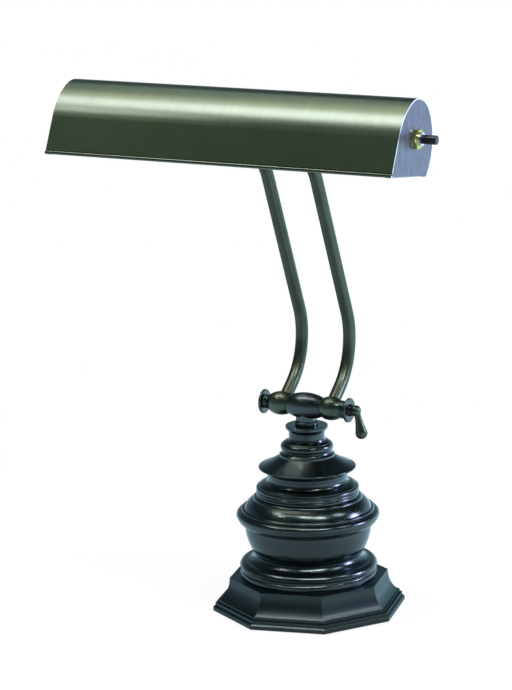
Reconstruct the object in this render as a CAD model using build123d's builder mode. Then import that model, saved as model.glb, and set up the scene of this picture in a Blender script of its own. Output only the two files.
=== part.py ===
from build123d import *
from math import cos, degrees, radians, sin, sqrt
import os

# Twin-arm piano lamp. Millimetres, +Z up, X along the reflector, -Y is the front.
# The origin is the centre of the base, on the surface that it rests on.

# ---- plinth: eight-sided, cast -----------------------------------------------------------------
ACROSS_FLATS = 176.4
BASE_TURN = 12.9
TABLE_GAP = 0.8
SLAB_Z = 4.6
SLAB_ROUND = 1.4
STEP_ONE_Z = 5.8
STEP_ONE_SETBACK = 2.2
STEP_TWO_Z = 9.0
STEP_TWO_SETBACK = 4.4
COVE_FOOT_Z = 11.8
COVE_FOOT_SETBACK = 6.3
COVE_SAG = 2.6
PLINTH_TOP_Z = 33.0
PLINTH_TOP_SETBACK = 15.4
PLINTH_WALL = 6.0
PLINTH_ROOF = 5.0
RECESS_SETBACK = 11.0
FELT_THICKNESS = 1.5
COVER_THICKNESS = 1.5
COVER_CLEARANCE = 0.3
BALLAST_CLEARANCE = 1.5
SEAT_CLEARANCE = 0.05
COVER_SCREW_COUNT = 4
COVER_SCREW_SETBACK = 16.5
COVER_SCREW_R = 2.0
COVER_SCREW_LENGTH = 9.0
COVER_SCREW_HEAD_R = 3.6
COVER_SCREW_HEAD = 1.2
INLET_Z = 20.0
INLET_R = 5.0
INLET_BORE_R = 3.2
INLET_FLANGE_R = 7.5
INLET_FLANGE = 2.0
INLET_SEAT_DEPTH = 1.5
INLET_TAIL = 1.5
WIREWAY_WIDTH = 14.0

# ---- turned stack: radii, and heights above each piece's own foot ------------------------------
PEDESTAL_HEIGHT = 23.0
PEDESTAL_FOOT_R = 67.3
PEDESTAL_FOOT_BEAD = 5.8
PEDESTAL_COVE_SAG = 1.5
PEDESTAL_RIM_R = 67.6
PEDESTAL_RIM_Z = 11.0
PEDESTAL_DOME_R = 60.6
PEDESTAL_DOME_Z = 16.2
PEDESTAL_DOME_SAG = 1.9
PEDESTAL_NECK_R = 52.6
PEDESTAL_NECK_SAG = 1.6
BOWL_HEIGHT = 28.8
BOWL_FOOT_R = 52.2
BOWL_SIDE_R = 58.8
BOWL_SIDE_Z = 12.6
BOWL_R = 62.0
COVER_HEIGHT = 29.2
COVER_FOOT_R = 61.2
COVER_LIP_R = 69.2
COVER_LIP_Z = 7.6
COVER_LIP_SAG = 1.2
COVER_RIM_R = 70.1
COVER_RIM_Z = 9.8
COVER_TORUS_R = 66.0
COVER_TORUS_Z = 14.4
COVER_BEAD_R = 65.2
COVER_BEAD_Z = 17.4
COVER_DOME_R = 62.2
COVER_DOME_Z = 26.8
COVER_DOME_SAG = 1.1
COVER_BROW_R = 53.4
COVER_BROW_SAG = 0.6
COVER_TOP_R = 51.0
SHOULDER_HEIGHT = 20.8
SHOULDER_BEAD_R = 50.3
SHOULDER_BEADS_Z = (3.2, 5.8, 9.2)
SHOULDER_FILLET_R = 48.4
SHOULDER_FILLET_Z = 10.4
SHOULDER_DOME_R = 41.0
SHOULDER_DOME_Z = 13.8
SHOULDER_DOME_SAG = 0.4
SHOULDER_NECK_R = 39.2
SHOULDER_NECK_SAG = 1.2
FLANGE_HEIGHT = 19.0
FLANGE_RIM_R = 47.6
FLANGE_RIM_Z = 6.8
FLANGE_RIM = 1.8
FLANGE_COVE_SAG = 2.3
FLANGE_TOP_R = 27.0
FLANGE_TOP_SAG = 0.7
SPOOL_HEIGHT = 30.5
SPOOL_RING = 2.4
SPOOL_GROOVE_R = 24.3
SPOOL_GROOVE_Z = 5.8
SPOOL_GROOVE_SAG = 0.5
SPOOL_BEAD_R = 25.8
SPOOL_BEAD_Z = 13.0
SPOOL_DOME_R = 23.0
SPOOL_DOME_Z = 15.5
SPOOL_DOME_SAG = 0.3
SPOOL_COLLAR_R = 18.6
SPOOL_NECK_R = 17.5
SPOOL_NECK_Z = 20.4
SPOOL_NECK_SAG = 0.5
SPOOL_DISC_R = 20.7
SPOOL_DISC_Z = 27.4
SPOOL_DISC_SAG = 1.2
SPOOL_BORE_R = 11.5
EDGE_BREAK = 0.6
QUIRK = 0.6
STACK_WALL = 3.5
STACK_ROOF = 4.0
COLLAR_R = 11.5
COLLAR_HEIGHT = 3.9

# ---- tie rod -----------------------------------------------------------------------------------
ROD_R = 5.0
ROD_BORE_R = 3.4
ROD_CLEARANCE = 0.15
ROD_START_Z = 5.0
ROD_ENGAGEMENT = 5.5
ROD_NUT_FLATS = 15.0
ROD_NUT_HEIGHT = 5.0
ROD_WASHER_R = 14.0
ROD_WASHER = 1.6

# ---- lower knuckle -----------------------------------------------------------------------------
KNUCKLE_RISE = 14.9
HUB_LENGTH = 35.0
HUB_R = 13.0
HUB_END_R = 9.4
HUB_BOSS_FLATS = 18.0
HUB_BOSS_TURN = -25.0
FRICTION_WASHER = 0.7
FRICTION_WASHER_R = 9.0
FACE_CLEARANCE = 0.05
LEFT_BARREL_LENGTH = 22.3
LEFT_BARREL_END_R = 6.6
RIGHT_BARREL_LENGTH = 18.6
RIGHT_BARREL_END_R = 8.5
BARREL_R = 11.6
BARREL_INNER_R = 9.4
BOLT_R = 4.0
BOLT_CLEARANCE = 0.06
LEFT_NECK_R = 6.9
LEFT_NECK_LENGTH = 3.8
RIGHT_NECK_R = 8.7
RIGHT_NECK_LENGTH = 7.8
NECK_GROOVE = 0.7
CAP_DISC_R = 11.9
CAP_DISC = 2.5
CONE_WASHER_R = 6.2
CONE_WASHER_LENGTH = 3.4
LEVER_HUB_R = 4.9
LEVER_HUB_LENGTH = 7.4
LEVER_THREAD_DEPTH = 5.0
LEVER_LEAN = 12.6
LEVER_ROOT_R = 3.1
LEVER_END_R = 5.9
LEVER_REACH = 27.8
LEVER_HUB_SAG = 0.4
LEVER_BALL_ARC = 105.0
LEVER_FLARE_SAG = 0.3

# ---- arms --------------------------------------------------------------------------------------
ARM_SPACING = 51.8
ARM_R = 6.2
ARM_WALL = 1.2
ARM_FOOT_LEAN = 52.5
ARM_FOOT_LENGTH = 25.7
ARM_BEND_R = 60.0
ARM_TOP_LEAN = 23.65
ARM_SHANK_LENGTH = 152.4
ARM_CROOK_R = 50.0
ARM_CROOK_LEAN = 75.0
ARM_TIP_LENGTH = 22.0
ARM_SOCKET_DEPTH = 5.0
ARM_SOCKET_CLEARANCE = 0.05

# ---- upper knuckle -----------------------------------------------------------------------------
TOP_HUB_LENGTH = 33.0
TOP_HUB_R = 9.0
TOP_HUB_END_R = 7.4
TOP_BARREL_LENGTH = 18.6
TOP_BARREL_R = 9.6
TOP_BARREL_END_R = 7.0
TOP_SOCKET_DEPTH = 4.0
TOP_BOLT_R = 2.5
CAP_NUT_R = 4.6
CAP_NUT_LENGTH = 6.0
CAP_NUT_WALL = 2.0
CAP_NUT_ROUND = 2.6
STUB_BOSS_R = 7.0
STUB_BOSS_GAP = 1.0
STUB_R = 5.0
STUB_BORE_R = 3.2
STUB_REACH = 19.4
STUB_HEADING = 156.1
STUB_THREAD_LENGTH = 10.0
STUB_NUT_FLATS = 15.0
STUB_NUT = 3.5

# ---- reflector ---------------------------------------------------------------------------------
REFLECTOR_LENGTH = 355.6
REFLECTOR_WALL = 1.0
FRONT_LEAN = 25.4
FRONT_WALL = 36.7
CROWN_FRONT_R = 54.4
CROWN_FRONT_ARC = 42.3
CROWN_BACK_R = 30.2
CROWN_BACK_ARC = 82.7
BACK_R = 47.9
BACK_ARC = 75.7
HEM_HEIGHT = 2.8
HEM_THICKNESS = 2.0
END_PLATE = 1.2
END_PLATE_RECESS = 0.2
END_PLATE_ROUND = 0.9
END_CORNER_R = 3.0
END_PLATE_FLANGE = 6.0
END_PLATE_CLEARANCE = 0.05

# ---- lamps inside the reflector ----------------------------------------------------------------
SOCKET_DISTANCE = 59.5
BRACKET_WIDTH = 25.0
BRACKET_SHEET = 1.5
BRACKET_FOOT_HALF = 8.0
BRACKET_EAR_R = 9.0
SOCKET_R = 17.0
SOCKET_LENGTH = 40.0
SOCKET_WALL = 2.5
SOCKET_FLOOR = 8.0
SOCKET_LIP = 1.2
SOCKET_SCREW_R = 1.5
SOCKET_SCREW_HEAD_R = 2.8
SOCKET_SCREW_HEAD = 1.6
SOCKET_SCREW_LENGTH = 7.0
SOCKET_SCREW_SPREAD = 5.0
BULB_CAP_R = 13.0
BULB_CAP_LENGTH = 24.0
BULB_CAP_WALL = 0.8
BULB_CAP_FLOOR = 4.0
BULB_R = 12.5
BULB_WALL = 0.8
BULB_NECK_R = 11.6
BULB_NECK_DEPTH = 4.0
BULB_END_GAP = 14.0

# ---- switch ------------------------------------------------------------------------------------
SWITCH_SETBACK = 50.7
SWITCH_RISE = 26.9
SWITCH_BODY_R = 9.5
SWITCH_BODY_LENGTH = 20.0
BUSHING_R = 6.0
BUSHING_LENGTH = 7.5
BUSHING_ROOT = 4.0
BUSHING_CLEARANCE = 0.05
SWITCH_NUT_FLATS = 17.0
SWITCH_NUT = 4.0
SWITCH_NUT_BEVEL = 0.9
LOCK_WASHER_R = 8.9
LOCK_WASHER = 0.7
LOCK_TAB_WIDTH = 3.0
LOCK_TAB_REACH = 12.0
LOCK_TAB_HEADING = 135.0
BUTTON_R = 4.2
BUTTON_REACH = 13.9
BUTTON_ROOT = 12.0
BUTTON_TRAVEL = 2.5
BUTTON_CLEARANCE = 0.08
BUTTON_ROUND = 0.8

os.makedirs("parts", exist_ok=True)


def save(part, name):
    """Labels a finished piece and writes it under its own name."""
    part.label = name
    export_step(part, f"parts/{name}.step")


def heading(angle):
    """The direction at an angle from local x, as a unit vector."""
    return Vector(cos(radians(angle)), sin(radians(angle)))


def upright_plane(angle):
    """An upright plane through the lamp's axis, its local x pointing out at an angle from +X."""
    return Plane(origin=(0, 0, 0), x_dir=(cos(radians(angle)), sin(radians(angle)), 0),
                 z_dir=(sin(radians(angle)), -cos(radians(angle)), 0))


def bead(start, crest_r, top):
    """Draws a round bead from its lower edge up to a height, its crest at a radius."""
    return ThreePointArc(start, (crest_r, (start.Y + top) / 2), (start.X, top))


def octagon(half_width):
    """Draws the base's octagon, given by the distance from its centre to a side."""
    with Locations(Rotation(0, 0, BASE_TURN)):
        RegularPolygon(half_width, 8, major_radius=False, rotation=22.5)


# ---- levels of the stack -----------------------------------------------------------------------
half_width = ACROSS_FLATS / 2
pedestal_z = PLINTH_TOP_Z
bowl_z = pedestal_z + PEDESTAL_HEIGHT
cover_z = bowl_z + BOWL_HEIGHT
shoulder_z = cover_z + COVER_HEIGHT
flange_z = shoulder_z + SHOULDER_HEIGHT
spool_z = flange_z + FLANGE_HEIGHT
collar_z = spool_z + SPOOL_HEIGHT
boss_z = collar_z + COLLAR_HEIGHT
knuckle_z = boss_z + KNUCKLE_RISE
rod_hole_r = ROD_R + ROD_CLEARANCE
cover_top_z = FELT_THICKNESS + COVER_THICKNESS
recess_half_width = half_width - RECESS_SETBACK
cavity_half_width = half_width - PLINTH_TOP_SETBACK - PLINTH_WALL
cavity_top_z = PLINTH_TOP_Z - PLINTH_ROOF
screw_circle_r = half_width - COVER_SCREW_SETBACK
inlet_plane = Plane(
    origin=(-half_width * sin(radians(BASE_TURN)), half_width * cos(radians(BASE_TURN)), INLET_Z),
    x_dir=(cos(radians(BASE_TURN)), sin(radians(BASE_TURN)), 0),
    z_dir=(-sin(radians(BASE_TURN)), cos(radians(BASE_TURN)), 0),
)
inlet_seat = half_width - PLINTH_TOP_SETBACK + INLET_SEAT_DEPTH

# ---- plinth: one moulded side, mitred round the eight sides ------------------------------------
with BuildPart() as plinth:
    for index in range(4):
        with BuildSketch(upright_plane(BASE_TURN + 45 * index), mode=Mode.PRIVATE) as moulding:
            with BuildLine():
                slab = Polyline(
                    (0, TABLE_GAP),
                    (half_width, TABLE_GAP),
                    (half_width, SLAB_Z),
                    (half_width - SLAB_ROUND, STEP_ONE_Z),
                    (half_width - STEP_ONE_SETBACK, STEP_ONE_Z),
                    (half_width - STEP_ONE_SETBACK, STEP_TWO_Z),
                    (half_width - STEP_TWO_SETBACK, STEP_TWO_Z),
                    (half_width - STEP_TWO_SETBACK, COVE_FOOT_Z),
                    (half_width - COVE_FOOT_SETBACK, COVE_FOOT_Z),
                )
                cove = SagittaArc(slab @ 1, (half_width - PLINTH_TOP_SETBACK, PLINTH_TOP_Z), COVE_SAG)
                Polyline(cove @ 1, (0, PLINTH_TOP_Z), slab @ 0)
            make_face()
            mirror(about=Plane.YZ)
        keep = Mode.INTERSECT if index else Mode.ADD
        extrude(moulding.sketch, amount=ACROSS_FLATS, both=True, mode=keep)
    with BuildSketch(Plane.XY):
        octagon(recess_half_width)
    extrude(amount=cover_top_z + SEAT_CLEARANCE, mode=Mode.SUBTRACT)
    with BuildSketch(Plane.XY):
        octagon(cavity_half_width)
    extrude(amount=cavity_top_z, mode=Mode.SUBTRACT)
    with BuildSketch(Plane.XY):
        Circle(rod_hole_r)
    extrude(amount=PLINTH_TOP_Z, mode=Mode.SUBTRACT)
    with BuildSketch(Plane.XY.rotated((0, 0, BASE_TURN))):
        with PolarLocations(screw_circle_r, COVER_SCREW_COUNT):
            Circle(COVER_SCREW_R + SEAT_CLEARANCE)
    extrude(amount=cover_top_z + COVER_SCREW_LENGTH, mode=Mode.SUBTRACT)
    with BuildSketch(inlet_plane):
        Circle(INLET_FLANGE_R + SEAT_CLEARANCE)
    extrude(amount=inlet_seat - half_width, mode=Mode.SUBTRACT)
    with BuildSketch(inlet_plane):
        Circle(INLET_R + SEAT_CLEARANCE)
    extrude(amount=cavity_half_width - half_width, mode=Mode.SUBTRACT)
save(plinth.part, "plinth")

with BuildPart() as felt_pad:
    with BuildSketch(Plane.XY):
        octagon(recess_half_width - COVER_CLEARANCE)
    extrude(amount=FELT_THICKNESS)
save(felt_pad.part, "felt_pad")

with BuildPart() as bottom_plate:
    with BuildSketch(Plane.XY.offset(FELT_THICKNESS)):
        octagon(recess_half_width - COVER_CLEARANCE)
    extrude(amount=COVER_THICKNESS)
    with BuildSketch(Plane.XY.offset(FELT_THICKNESS).rotated((0, 0, BASE_TURN))):
        with PolarLocations(screw_circle_r, COVER_SCREW_COUNT):
            Circle(COVER_SCREW_HEAD_R + SEAT_CLEARANCE)
    extrude(amount=COVER_SCREW_HEAD, mode=Mode.SUBTRACT)
    with BuildSketch(Plane.XY.offset(FELT_THICKNESS).rotated((0, 0, BASE_TURN))):
        with PolarLocations(screw_circle_r, COVER_SCREW_COUNT):
            Circle(COVER_SCREW_R + SEAT_CLEARANCE)
    extrude(amount=COVER_THICKNESS, mode=Mode.SUBTRACT)
save(bottom_plate.part, "bottom_plate")

with BuildPart() as bottom_screws:
    with BuildSketch(Plane.XY.offset(FELT_THICKNESS).rotated((0, 0, BASE_TURN))):
        with PolarLocations(screw_circle_r, COVER_SCREW_COUNT):
            Circle(COVER_SCREW_HEAD_R)
    extrude(amount=COVER_SCREW_HEAD)
    with BuildSketch(Plane.XY.offset(FELT_THICKNESS).rotated((0, 0, BASE_TURN))):
        with PolarLocations(screw_circle_r, COVER_SCREW_COUNT):
            Circle(COVER_SCREW_R)
    extrude(amount=COVER_SCREW_LENGTH)
save(bottom_screws.part, "bottom_screws")

# ---- ballast, with the nut pocket below and the wireway from the inlet -------------------------
nut_z = ROD_START_Z
washer_z = nut_z + ROD_NUT_HEIGHT
ballast_z = cover_top_z + SEAT_CLEARANCE
with BuildPart() as ballast_weight:
    with BuildSketch(Plane.XY.offset(ballast_z)):
        octagon(cavity_half_width - BALLAST_CLEARANCE)
    extrude(amount=cavity_top_z - ballast_z)
    with BuildSketch(Plane.XY.offset(ballast_z)):
        Circle(ROD_WASHER_R + BALLAST_CLEARANCE)
    extrude(amount=washer_z + ROD_WASHER - ballast_z, mode=Mode.SUBTRACT)
    with BuildSketch(Plane.XY.offset(ballast_z)):
        Circle(rod_hole_r)
    extrude(amount=cavity_top_z - ballast_z, mode=Mode.SUBTRACT)
    with BuildSketch(inlet_plane):
        with Locations((0, -(INLET_Z - washer_z) / 2)):
            Rectangle(WIREWAY_WIDTH, INLET_Z - washer_z + WIREWAY_WIDTH)
    extrude(amount=ROD_WASHER_R - half_width, mode=Mode.SUBTRACT)
save(ballast_weight.part, "ballast_weight")

with BuildPart() as tie_nut:
    with BuildSketch(Plane.XY.offset(nut_z)):
        RegularPolygon(ROD_NUT_FLATS / 2, 6, major_radius=False)
        Circle(rod_hole_r, mode=Mode.SUBTRACT)
    extrude(amount=ROD_NUT_HEIGHT)
save(tie_nut.part, "tie_nut")

with BuildPart() as tie_washer:
    with BuildSketch(Plane.XY.offset(washer_z)):
        Circle(ROD_WASHER_R)
        Circle(rod_hole_r, mode=Mode.SUBTRACT)
    extrude(amount=ROD_WASHER)
save(tie_washer.part, "tie_washer")

with BuildPart() as tie_rod:
    with BuildSketch(Plane.XY.offset(ROD_START_Z)):
        Circle(ROD_R)
        Circle(ROD_BORE_R, mode=Mode.SUBTRACT)
    extrude(amount=boss_z + ROD_ENGAGEMENT - ROD_START_Z)
save(tie_rod.part, "tie_rod")

with BuildPart() as cord_bushing:
    with BuildSketch(inlet_plane.offset(inlet_seat - half_width)):
        Circle(INLET_FLANGE_R)
    extrude(amount=INLET_FLANGE)
    fillet(cord_bushing.edges(), INLET_FLANGE / 4)
    with BuildSketch(inlet_plane.offset(cavity_half_width - INLET_TAIL - half_width)):
        Circle(INLET_R)
    extrude(amount=inlet_seat - cavity_half_width + INLET_TAIL + INLET_FLANGE / 2)
    with BuildSketch(inlet_plane.offset(inlet_seat + INLET_FLANGE - half_width)):
        Circle(INLET_BORE_R)
    extrude(amount=-half_width, mode=Mode.SUBTRACT)
save(cord_bushing.part, "cord_bushing")

# ---- turned stack: each section runs up its outer side, and its cavity follows it --------------
with BuildPart() as pedestal:
    rim_z = pedestal_z + PEDESTAL_RIM_Z
    with BuildSketch(Plane.XZ):
        with BuildLine():
            foot = Line((0, pedestal_z), (PEDESTAL_FOOT_R - QUIRK, pedestal_z))
            foot_bead = bead(foot @ 1, PEDESTAL_FOOT_R, pedestal_z + PEDESTAL_FOOT_BEAD)
            cove = SagittaArc(
                foot_bead @ 1, (PEDESTAL_RIM_R - EDGE_BREAK, rim_z - EDGE_BREAK), PEDESTAL_COVE_SAG)
            rim = Line(cove @ 1, (PEDESTAL_RIM_R, rim_z))
            dome = SagittaArc(
                rim @ 1, (PEDESTAL_DOME_R, pedestal_z + PEDESTAL_DOME_Z), -PEDESTAL_DOME_SAG)
            neck = SagittaArc(dome @ 1, (PEDESTAL_NECK_R, bowl_z), PEDESTAL_NECK_SAG)
            Polyline(neck @ 1, (0, bowl_z), foot @ 0)
        make_face()
    revolve(axis=Axis.Z)
    with BuildSketch(Plane.XZ):
        Polygon(
            (0, pedestal_z),
            (PEDESTAL_FOOT_R - 2 * STACK_WALL, pedestal_z),
            (PEDESTAL_RIM_R - 2 * STACK_WALL, rim_z - STACK_WALL),
            (PEDESTAL_NECK_R - STACK_WALL, bowl_z - STACK_ROOF),
            (0, bowl_z - STACK_ROOF),
            align=None,
        )
    revolve(axis=Axis.Z, mode=Mode.SUBTRACT)
    with BuildSketch(Plane.XY.offset(pedestal_z)):
        Circle(rod_hole_r)
    extrude(amount=PEDESTAL_HEIGHT, mode=Mode.SUBTRACT)
save(pedestal.part, "pedestal")

with BuildPart() as bowl:
    with BuildSketch(Plane.XZ):
        with BuildLine():
            foot = Line((0, bowl_z), (BOWL_FOOT_R, bowl_z))
            side = ThreePointArc(foot @ 1, (BOWL_SIDE_R, bowl_z + BOWL_SIDE_Z), (BOWL_R, cover_z))
            Polyline(side @ 1, (0, cover_z), foot @ 0)
        make_face()
    revolve(axis=Axis.Z)
    with BuildSketch(Plane.XZ):
        Polygon(
            (0, bowl_z + STACK_ROOF),
            (BOWL_FOOT_R - STACK_WALL, bowl_z + STACK_ROOF),
            (BOWL_SIDE_R - STACK_WALL, bowl_z + BOWL_SIDE_Z),
            (BOWL_R - STACK_WALL, cover_z),
            (0, cover_z),
            align=None,
        )
    revolve(axis=Axis.Z, mode=Mode.SUBTRACT)
    with BuildSketch(Plane.XY.offset(bowl_z)):
        Circle(rod_hole_r)
    extrude(amount=BOWL_HEIGHT, mode=Mode.SUBTRACT)
save(bowl.part, "bowl")

with BuildPart() as bowl_cover:
    lip_z = cover_z + COVER_LIP_Z
    torus_z = cover_z + COVER_TORUS_Z
    dome_foot_z = cover_z + COVER_BEAD_Z
    brow_z = cover_z + COVER_DOME_Z
    with BuildSketch(Plane.XZ):
        with BuildLine():
            seat = Line((0, cover_z), (COVER_FOOT_R, cover_z))
            groove = Line(seat @ 1, (BOWL_R, cover_z + QUIRK))
            lip = SagittaArc(groove @ 1, (COVER_LIP_R, lip_z), -COVER_LIP_SAG)
            torus = ThreePointArc(
                lip @ 1, (COVER_RIM_R, cover_z + COVER_RIM_Z), (COVER_TORUS_R, torus_z))
            quirk = Line(torus @ 1, (COVER_BEAD_R - QUIRK / 2, torus_z))
            upper_bead = ThreePointArc(
                quirk @ 1,
                (COVER_BEAD_R, (torus_z + dome_foot_z) / 2),
                (COVER_DOME_R + QUIRK, dome_foot_z),
            )
            step = Line(upper_bead @ 1, (COVER_DOME_R, dome_foot_z))
            dome = SagittaArc(step @ 1, (COVER_BROW_R, brow_z), -COVER_DOME_SAG)
            brow = SagittaArc(dome @ 1, (COVER_TOP_R, shoulder_z), -COVER_BROW_SAG)
            Polyline(brow @ 1, (0, shoulder_z), seat @ 0)
        make_face()
    revolve(axis=Axis.Z)
    with BuildSketch(Plane.XZ):
        Polygon(
            (0, cover_z),
            (COVER_FOOT_R - STACK_WALL, cover_z),
            (COVER_BEAD_R - STACK_WALL, lip_z),
            (COVER_BEAD_R - STACK_WALL, torus_z),
            (COVER_BROW_R - STACK_WALL, brow_z - STACK_WALL),
            (COVER_TOP_R - STACK_WALL, shoulder_z - STACK_ROOF),
            (0, shoulder_z - STACK_ROOF),
            align=None,
        )
    revolve(axis=Axis.Z, mode=Mode.SUBTRACT)
    with BuildSketch(Plane.XY.offset(cover_z)):
        Circle(rod_hole_r)
    extrude(amount=COVER_HEIGHT, mode=Mode.SUBTRACT)
save(bowl_cover.part, "bowl_cover")

with BuildPart() as shoulder_ring:
    fillet_z = shoulder_z + SHOULDER_FILLET_Z
    with BuildSketch(Plane.XZ):
        with BuildLine():
            foot = Line((0, shoulder_z), (SHOULDER_BEAD_R - QUIRK, shoulder_z))
            edge = foot
            for top in SHOULDER_BEADS_Z:
                edge = bead(edge @ 1, SHOULDER_BEAD_R, shoulder_z + top)
            rise = Polyline(
                edge @ 1,
                (SHOULDER_FILLET_R, fillet_z - EDGE_BREAK),
                (SHOULDER_FILLET_R, fillet_z),
                (SHOULDER_FILLET_R - 2 * QUIRK, fillet_z + QUIRK),
            )
            dome = SagittaArc(
                rise @ 1, (SHOULDER_DOME_R, shoulder_z + SHOULDER_DOME_Z), -SHOULDER_DOME_SAG)
            neck = SagittaArc(dome @ 1, (SHOULDER_NECK_R, flange_z), SHOULDER_NECK_SAG)
            Polyline(neck @ 1, (0, flange_z), foot @ 0)
        make_face()
    revolve(axis=Axis.Z)
    with BuildSketch(Plane.XZ):
        Polygon(
            (0, shoulder_z),
            (SHOULDER_FILLET_R - STACK_WALL, shoulder_z),
            (SHOULDER_FILLET_R - STACK_WALL, fillet_z - STACK_WALL),
            (SHOULDER_NECK_R - STACK_WALL, flange_z - STACK_ROOF),
            (0, flange_z - STACK_ROOF),
            align=None,
        )
    revolve(axis=Axis.Z, mode=Mode.SUBTRACT)
    with BuildSketch(Plane.XY.offset(shoulder_z)):
        Circle(rod_hole_r)
    extrude(amount=SHOULDER_HEIGHT, mode=Mode.SUBTRACT)
save(shoulder_ring.part, "shoulder_ring")

with BuildPart() as flange_dish:
    rim_z = flange_z + FLANGE_RIM_Z
    with BuildSketch(Plane.XZ):
        with BuildLine():
            neck = Line((0, flange_z), (SHOULDER_NECK_R, flange_z))
            cove = SagittaArc(neck @ 1, (FLANGE_RIM_R - QUIRK, rim_z), FLANGE_COVE_SAG)
            rim = bead(cove @ 1, FLANGE_RIM_R, rim_z + FLANGE_RIM)
            flare = SagittaArc(rim @ 1, (FLANGE_TOP_R, spool_z), FLANGE_TOP_SAG)
            Polyline(flare @ 1, (0, spool_z), neck @ 0)
        make_face()
    revolve(axis=Axis.Z)
    with BuildSketch(Plane.XZ):
        Polygon(
            (0, flange_z),
            (SHOULDER_NECK_R - STACK_WALL, flange_z),
            (SHOULDER_NECK_R - STACK_WALL, rim_z),
            (FLANGE_TOP_R - STACK_WALL, spool_z - STACK_ROOF),
            (0, spool_z - STACK_ROOF),
            align=None,
        )
    revolve(axis=Axis.Z, mode=Mode.SUBTRACT)
    with BuildSketch(Plane.XY.offset(flange_z)):
        Circle(rod_hole_r)
    extrude(amount=FLANGE_HEIGHT, mode=Mode.SUBTRACT)
save(flange_dish.part, "flange_dish")

with BuildPart() as neck_spool:
    with BuildSketch(Plane.XZ):
        with BuildLine():
            ring = Polyline(
                (0, spool_z),
                (FLANGE_TOP_R, spool_z),
                (FLANGE_TOP_R, spool_z + SPOOL_RING - EDGE_BREAK),
                (FLANGE_TOP_R - EDGE_BREAK, spool_z + SPOOL_RING),
            )
            groove = SagittaArc(
                ring @ 1, (SPOOL_GROOVE_R, spool_z + SPOOL_GROOVE_Z), SPOOL_GROOVE_SAG)
            swell = ThreePointArc(
                groove @ 1,
                (SPOOL_BEAD_R, spool_z + (SPOOL_GROOVE_Z + SPOOL_BEAD_Z) / 2),
                (SPOOL_DOME_R + QUIRK, spool_z + SPOOL_BEAD_Z),
            )
            quirk = Polyline(
                swell @ 1,
                (SPOOL_DOME_R, spool_z + SPOOL_BEAD_Z),
                (SPOOL_DOME_R, spool_z + SPOOL_BEAD_Z + QUIRK),
            )
            dome = SagittaArc(quirk @ 1, (SPOOL_COLLAR_R, spool_z + SPOOL_DOME_Z), -SPOOL_DOME_SAG)
            waist = SagittaArc(dome @ 1, (SPOOL_NECK_R, spool_z + SPOOL_NECK_Z), SPOOL_NECK_SAG)
            throat = SagittaArc(waist @ 1, (SPOOL_DISC_R, spool_z + SPOOL_DISC_Z), SPOOL_DISC_SAG)
            Polyline(
                throat @ 1,
                (SPOOL_DISC_R, collar_z - EDGE_BREAK),
                (SPOOL_DISC_R - EDGE_BREAK, collar_z),
                (0, collar_z),
                ring @ 0,
            )
        make_face()
    revolve(axis=Axis.Z)
    with BuildSketch(Plane.XY.offset(spool_z)):
        Circle(SPOOL_BORE_R)
    extrude(amount=SPOOL_HEIGHT - STACK_ROOF, mode=Mode.SUBTRACT)
    with BuildSketch(Plane.XY.offset(spool_z)):
        Circle(rod_hole_r)
    extrude(amount=SPOOL_HEIGHT, mode=Mode.SUBTRACT)
save(neck_spool.part, "neck_spool")

with BuildPart() as neck_collar:
    with BuildSketch(Plane.XY.offset(collar_z)):
        Circle(COLLAR_R)
    extrude(amount=COLLAR_HEIGHT)
    chamfer(neck_collar.edges(), COLLAR_HEIGHT / 8)
    with BuildSketch(Plane.XY.offset(collar_z)):
        Circle(rod_hole_r)
    extrude(amount=COLLAR_HEIGHT, mode=Mode.SUBTRACT)
save(neck_collar.part, "neck_collar")

# ---- lower knuckle: everything turns about the bolt, along X -----------------------------------
bolt_hole_r = BOLT_R + BOLT_CLEARANCE
knuckle_axis = Axis((0, 0, knuckle_z), (1, 0, 0))
knuckle_face = Plane(origin=(0, 0, knuckle_z), x_dir=(1, 0, 0), z_dir=(0, -1, 0))
hub_half = HUB_LENGTH / 2
arm_x = ARM_SPACING / 2
barrel_start = hub_half + FRICTION_WASHER + 2 * FACE_CLEARANCE

with BuildPart() as knuckle_hub:
    with BuildSketch(knuckle_face):
        with BuildLine():
            end = Line((-hub_half, 0), (-hub_half, HUB_END_R))
            crown = ThreePointArc(end @ 1, (0, HUB_R), (hub_half, HUB_END_R))
            Polyline(crown @ 1, (hub_half, 0), end @ 0)
        make_face()
    revolve(axis=knuckle_axis)
    with BuildSketch(Plane.XY.offset(boss_z).rotated((0, 0, HUB_BOSS_TURN))):
        RegularPolygon(HUB_BOSS_FLATS / 2, 6, major_radius=False)
    extrude(amount=KNUCKLE_RISE - BOLT_R - FACE_CLEARANCE)
    with BuildSketch(Plane.XY.offset(boss_z)):
        Circle(ROD_R + FACE_CLEARANCE)
    extrude(amount=ROD_ENGAGEMENT + FACE_CLEARANCE, mode=Mode.SUBTRACT)
    with BuildSketch(Plane.YZ.offset(-HUB_LENGTH)):
        with Locations((0, knuckle_z)):
            Circle(bolt_hole_r)
    extrude(amount=2 * HUB_LENGTH, mode=Mode.SUBTRACT)
save(knuckle_hub.part, "knuckle_hub")

with BuildPart() as friction_washers:
    with BuildSketch(Plane.YZ.offset(hub_half + FACE_CLEARANCE)):
        with Locations((0, knuckle_z)):
            Circle(FRICTION_WASHER_R)
            Circle(bolt_hole_r, mode=Mode.SUBTRACT)
    extrude(amount=FRICTION_WASHER)
    mirror(about=Plane.YZ)
save(friction_washers.part, "friction_washers")

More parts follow.
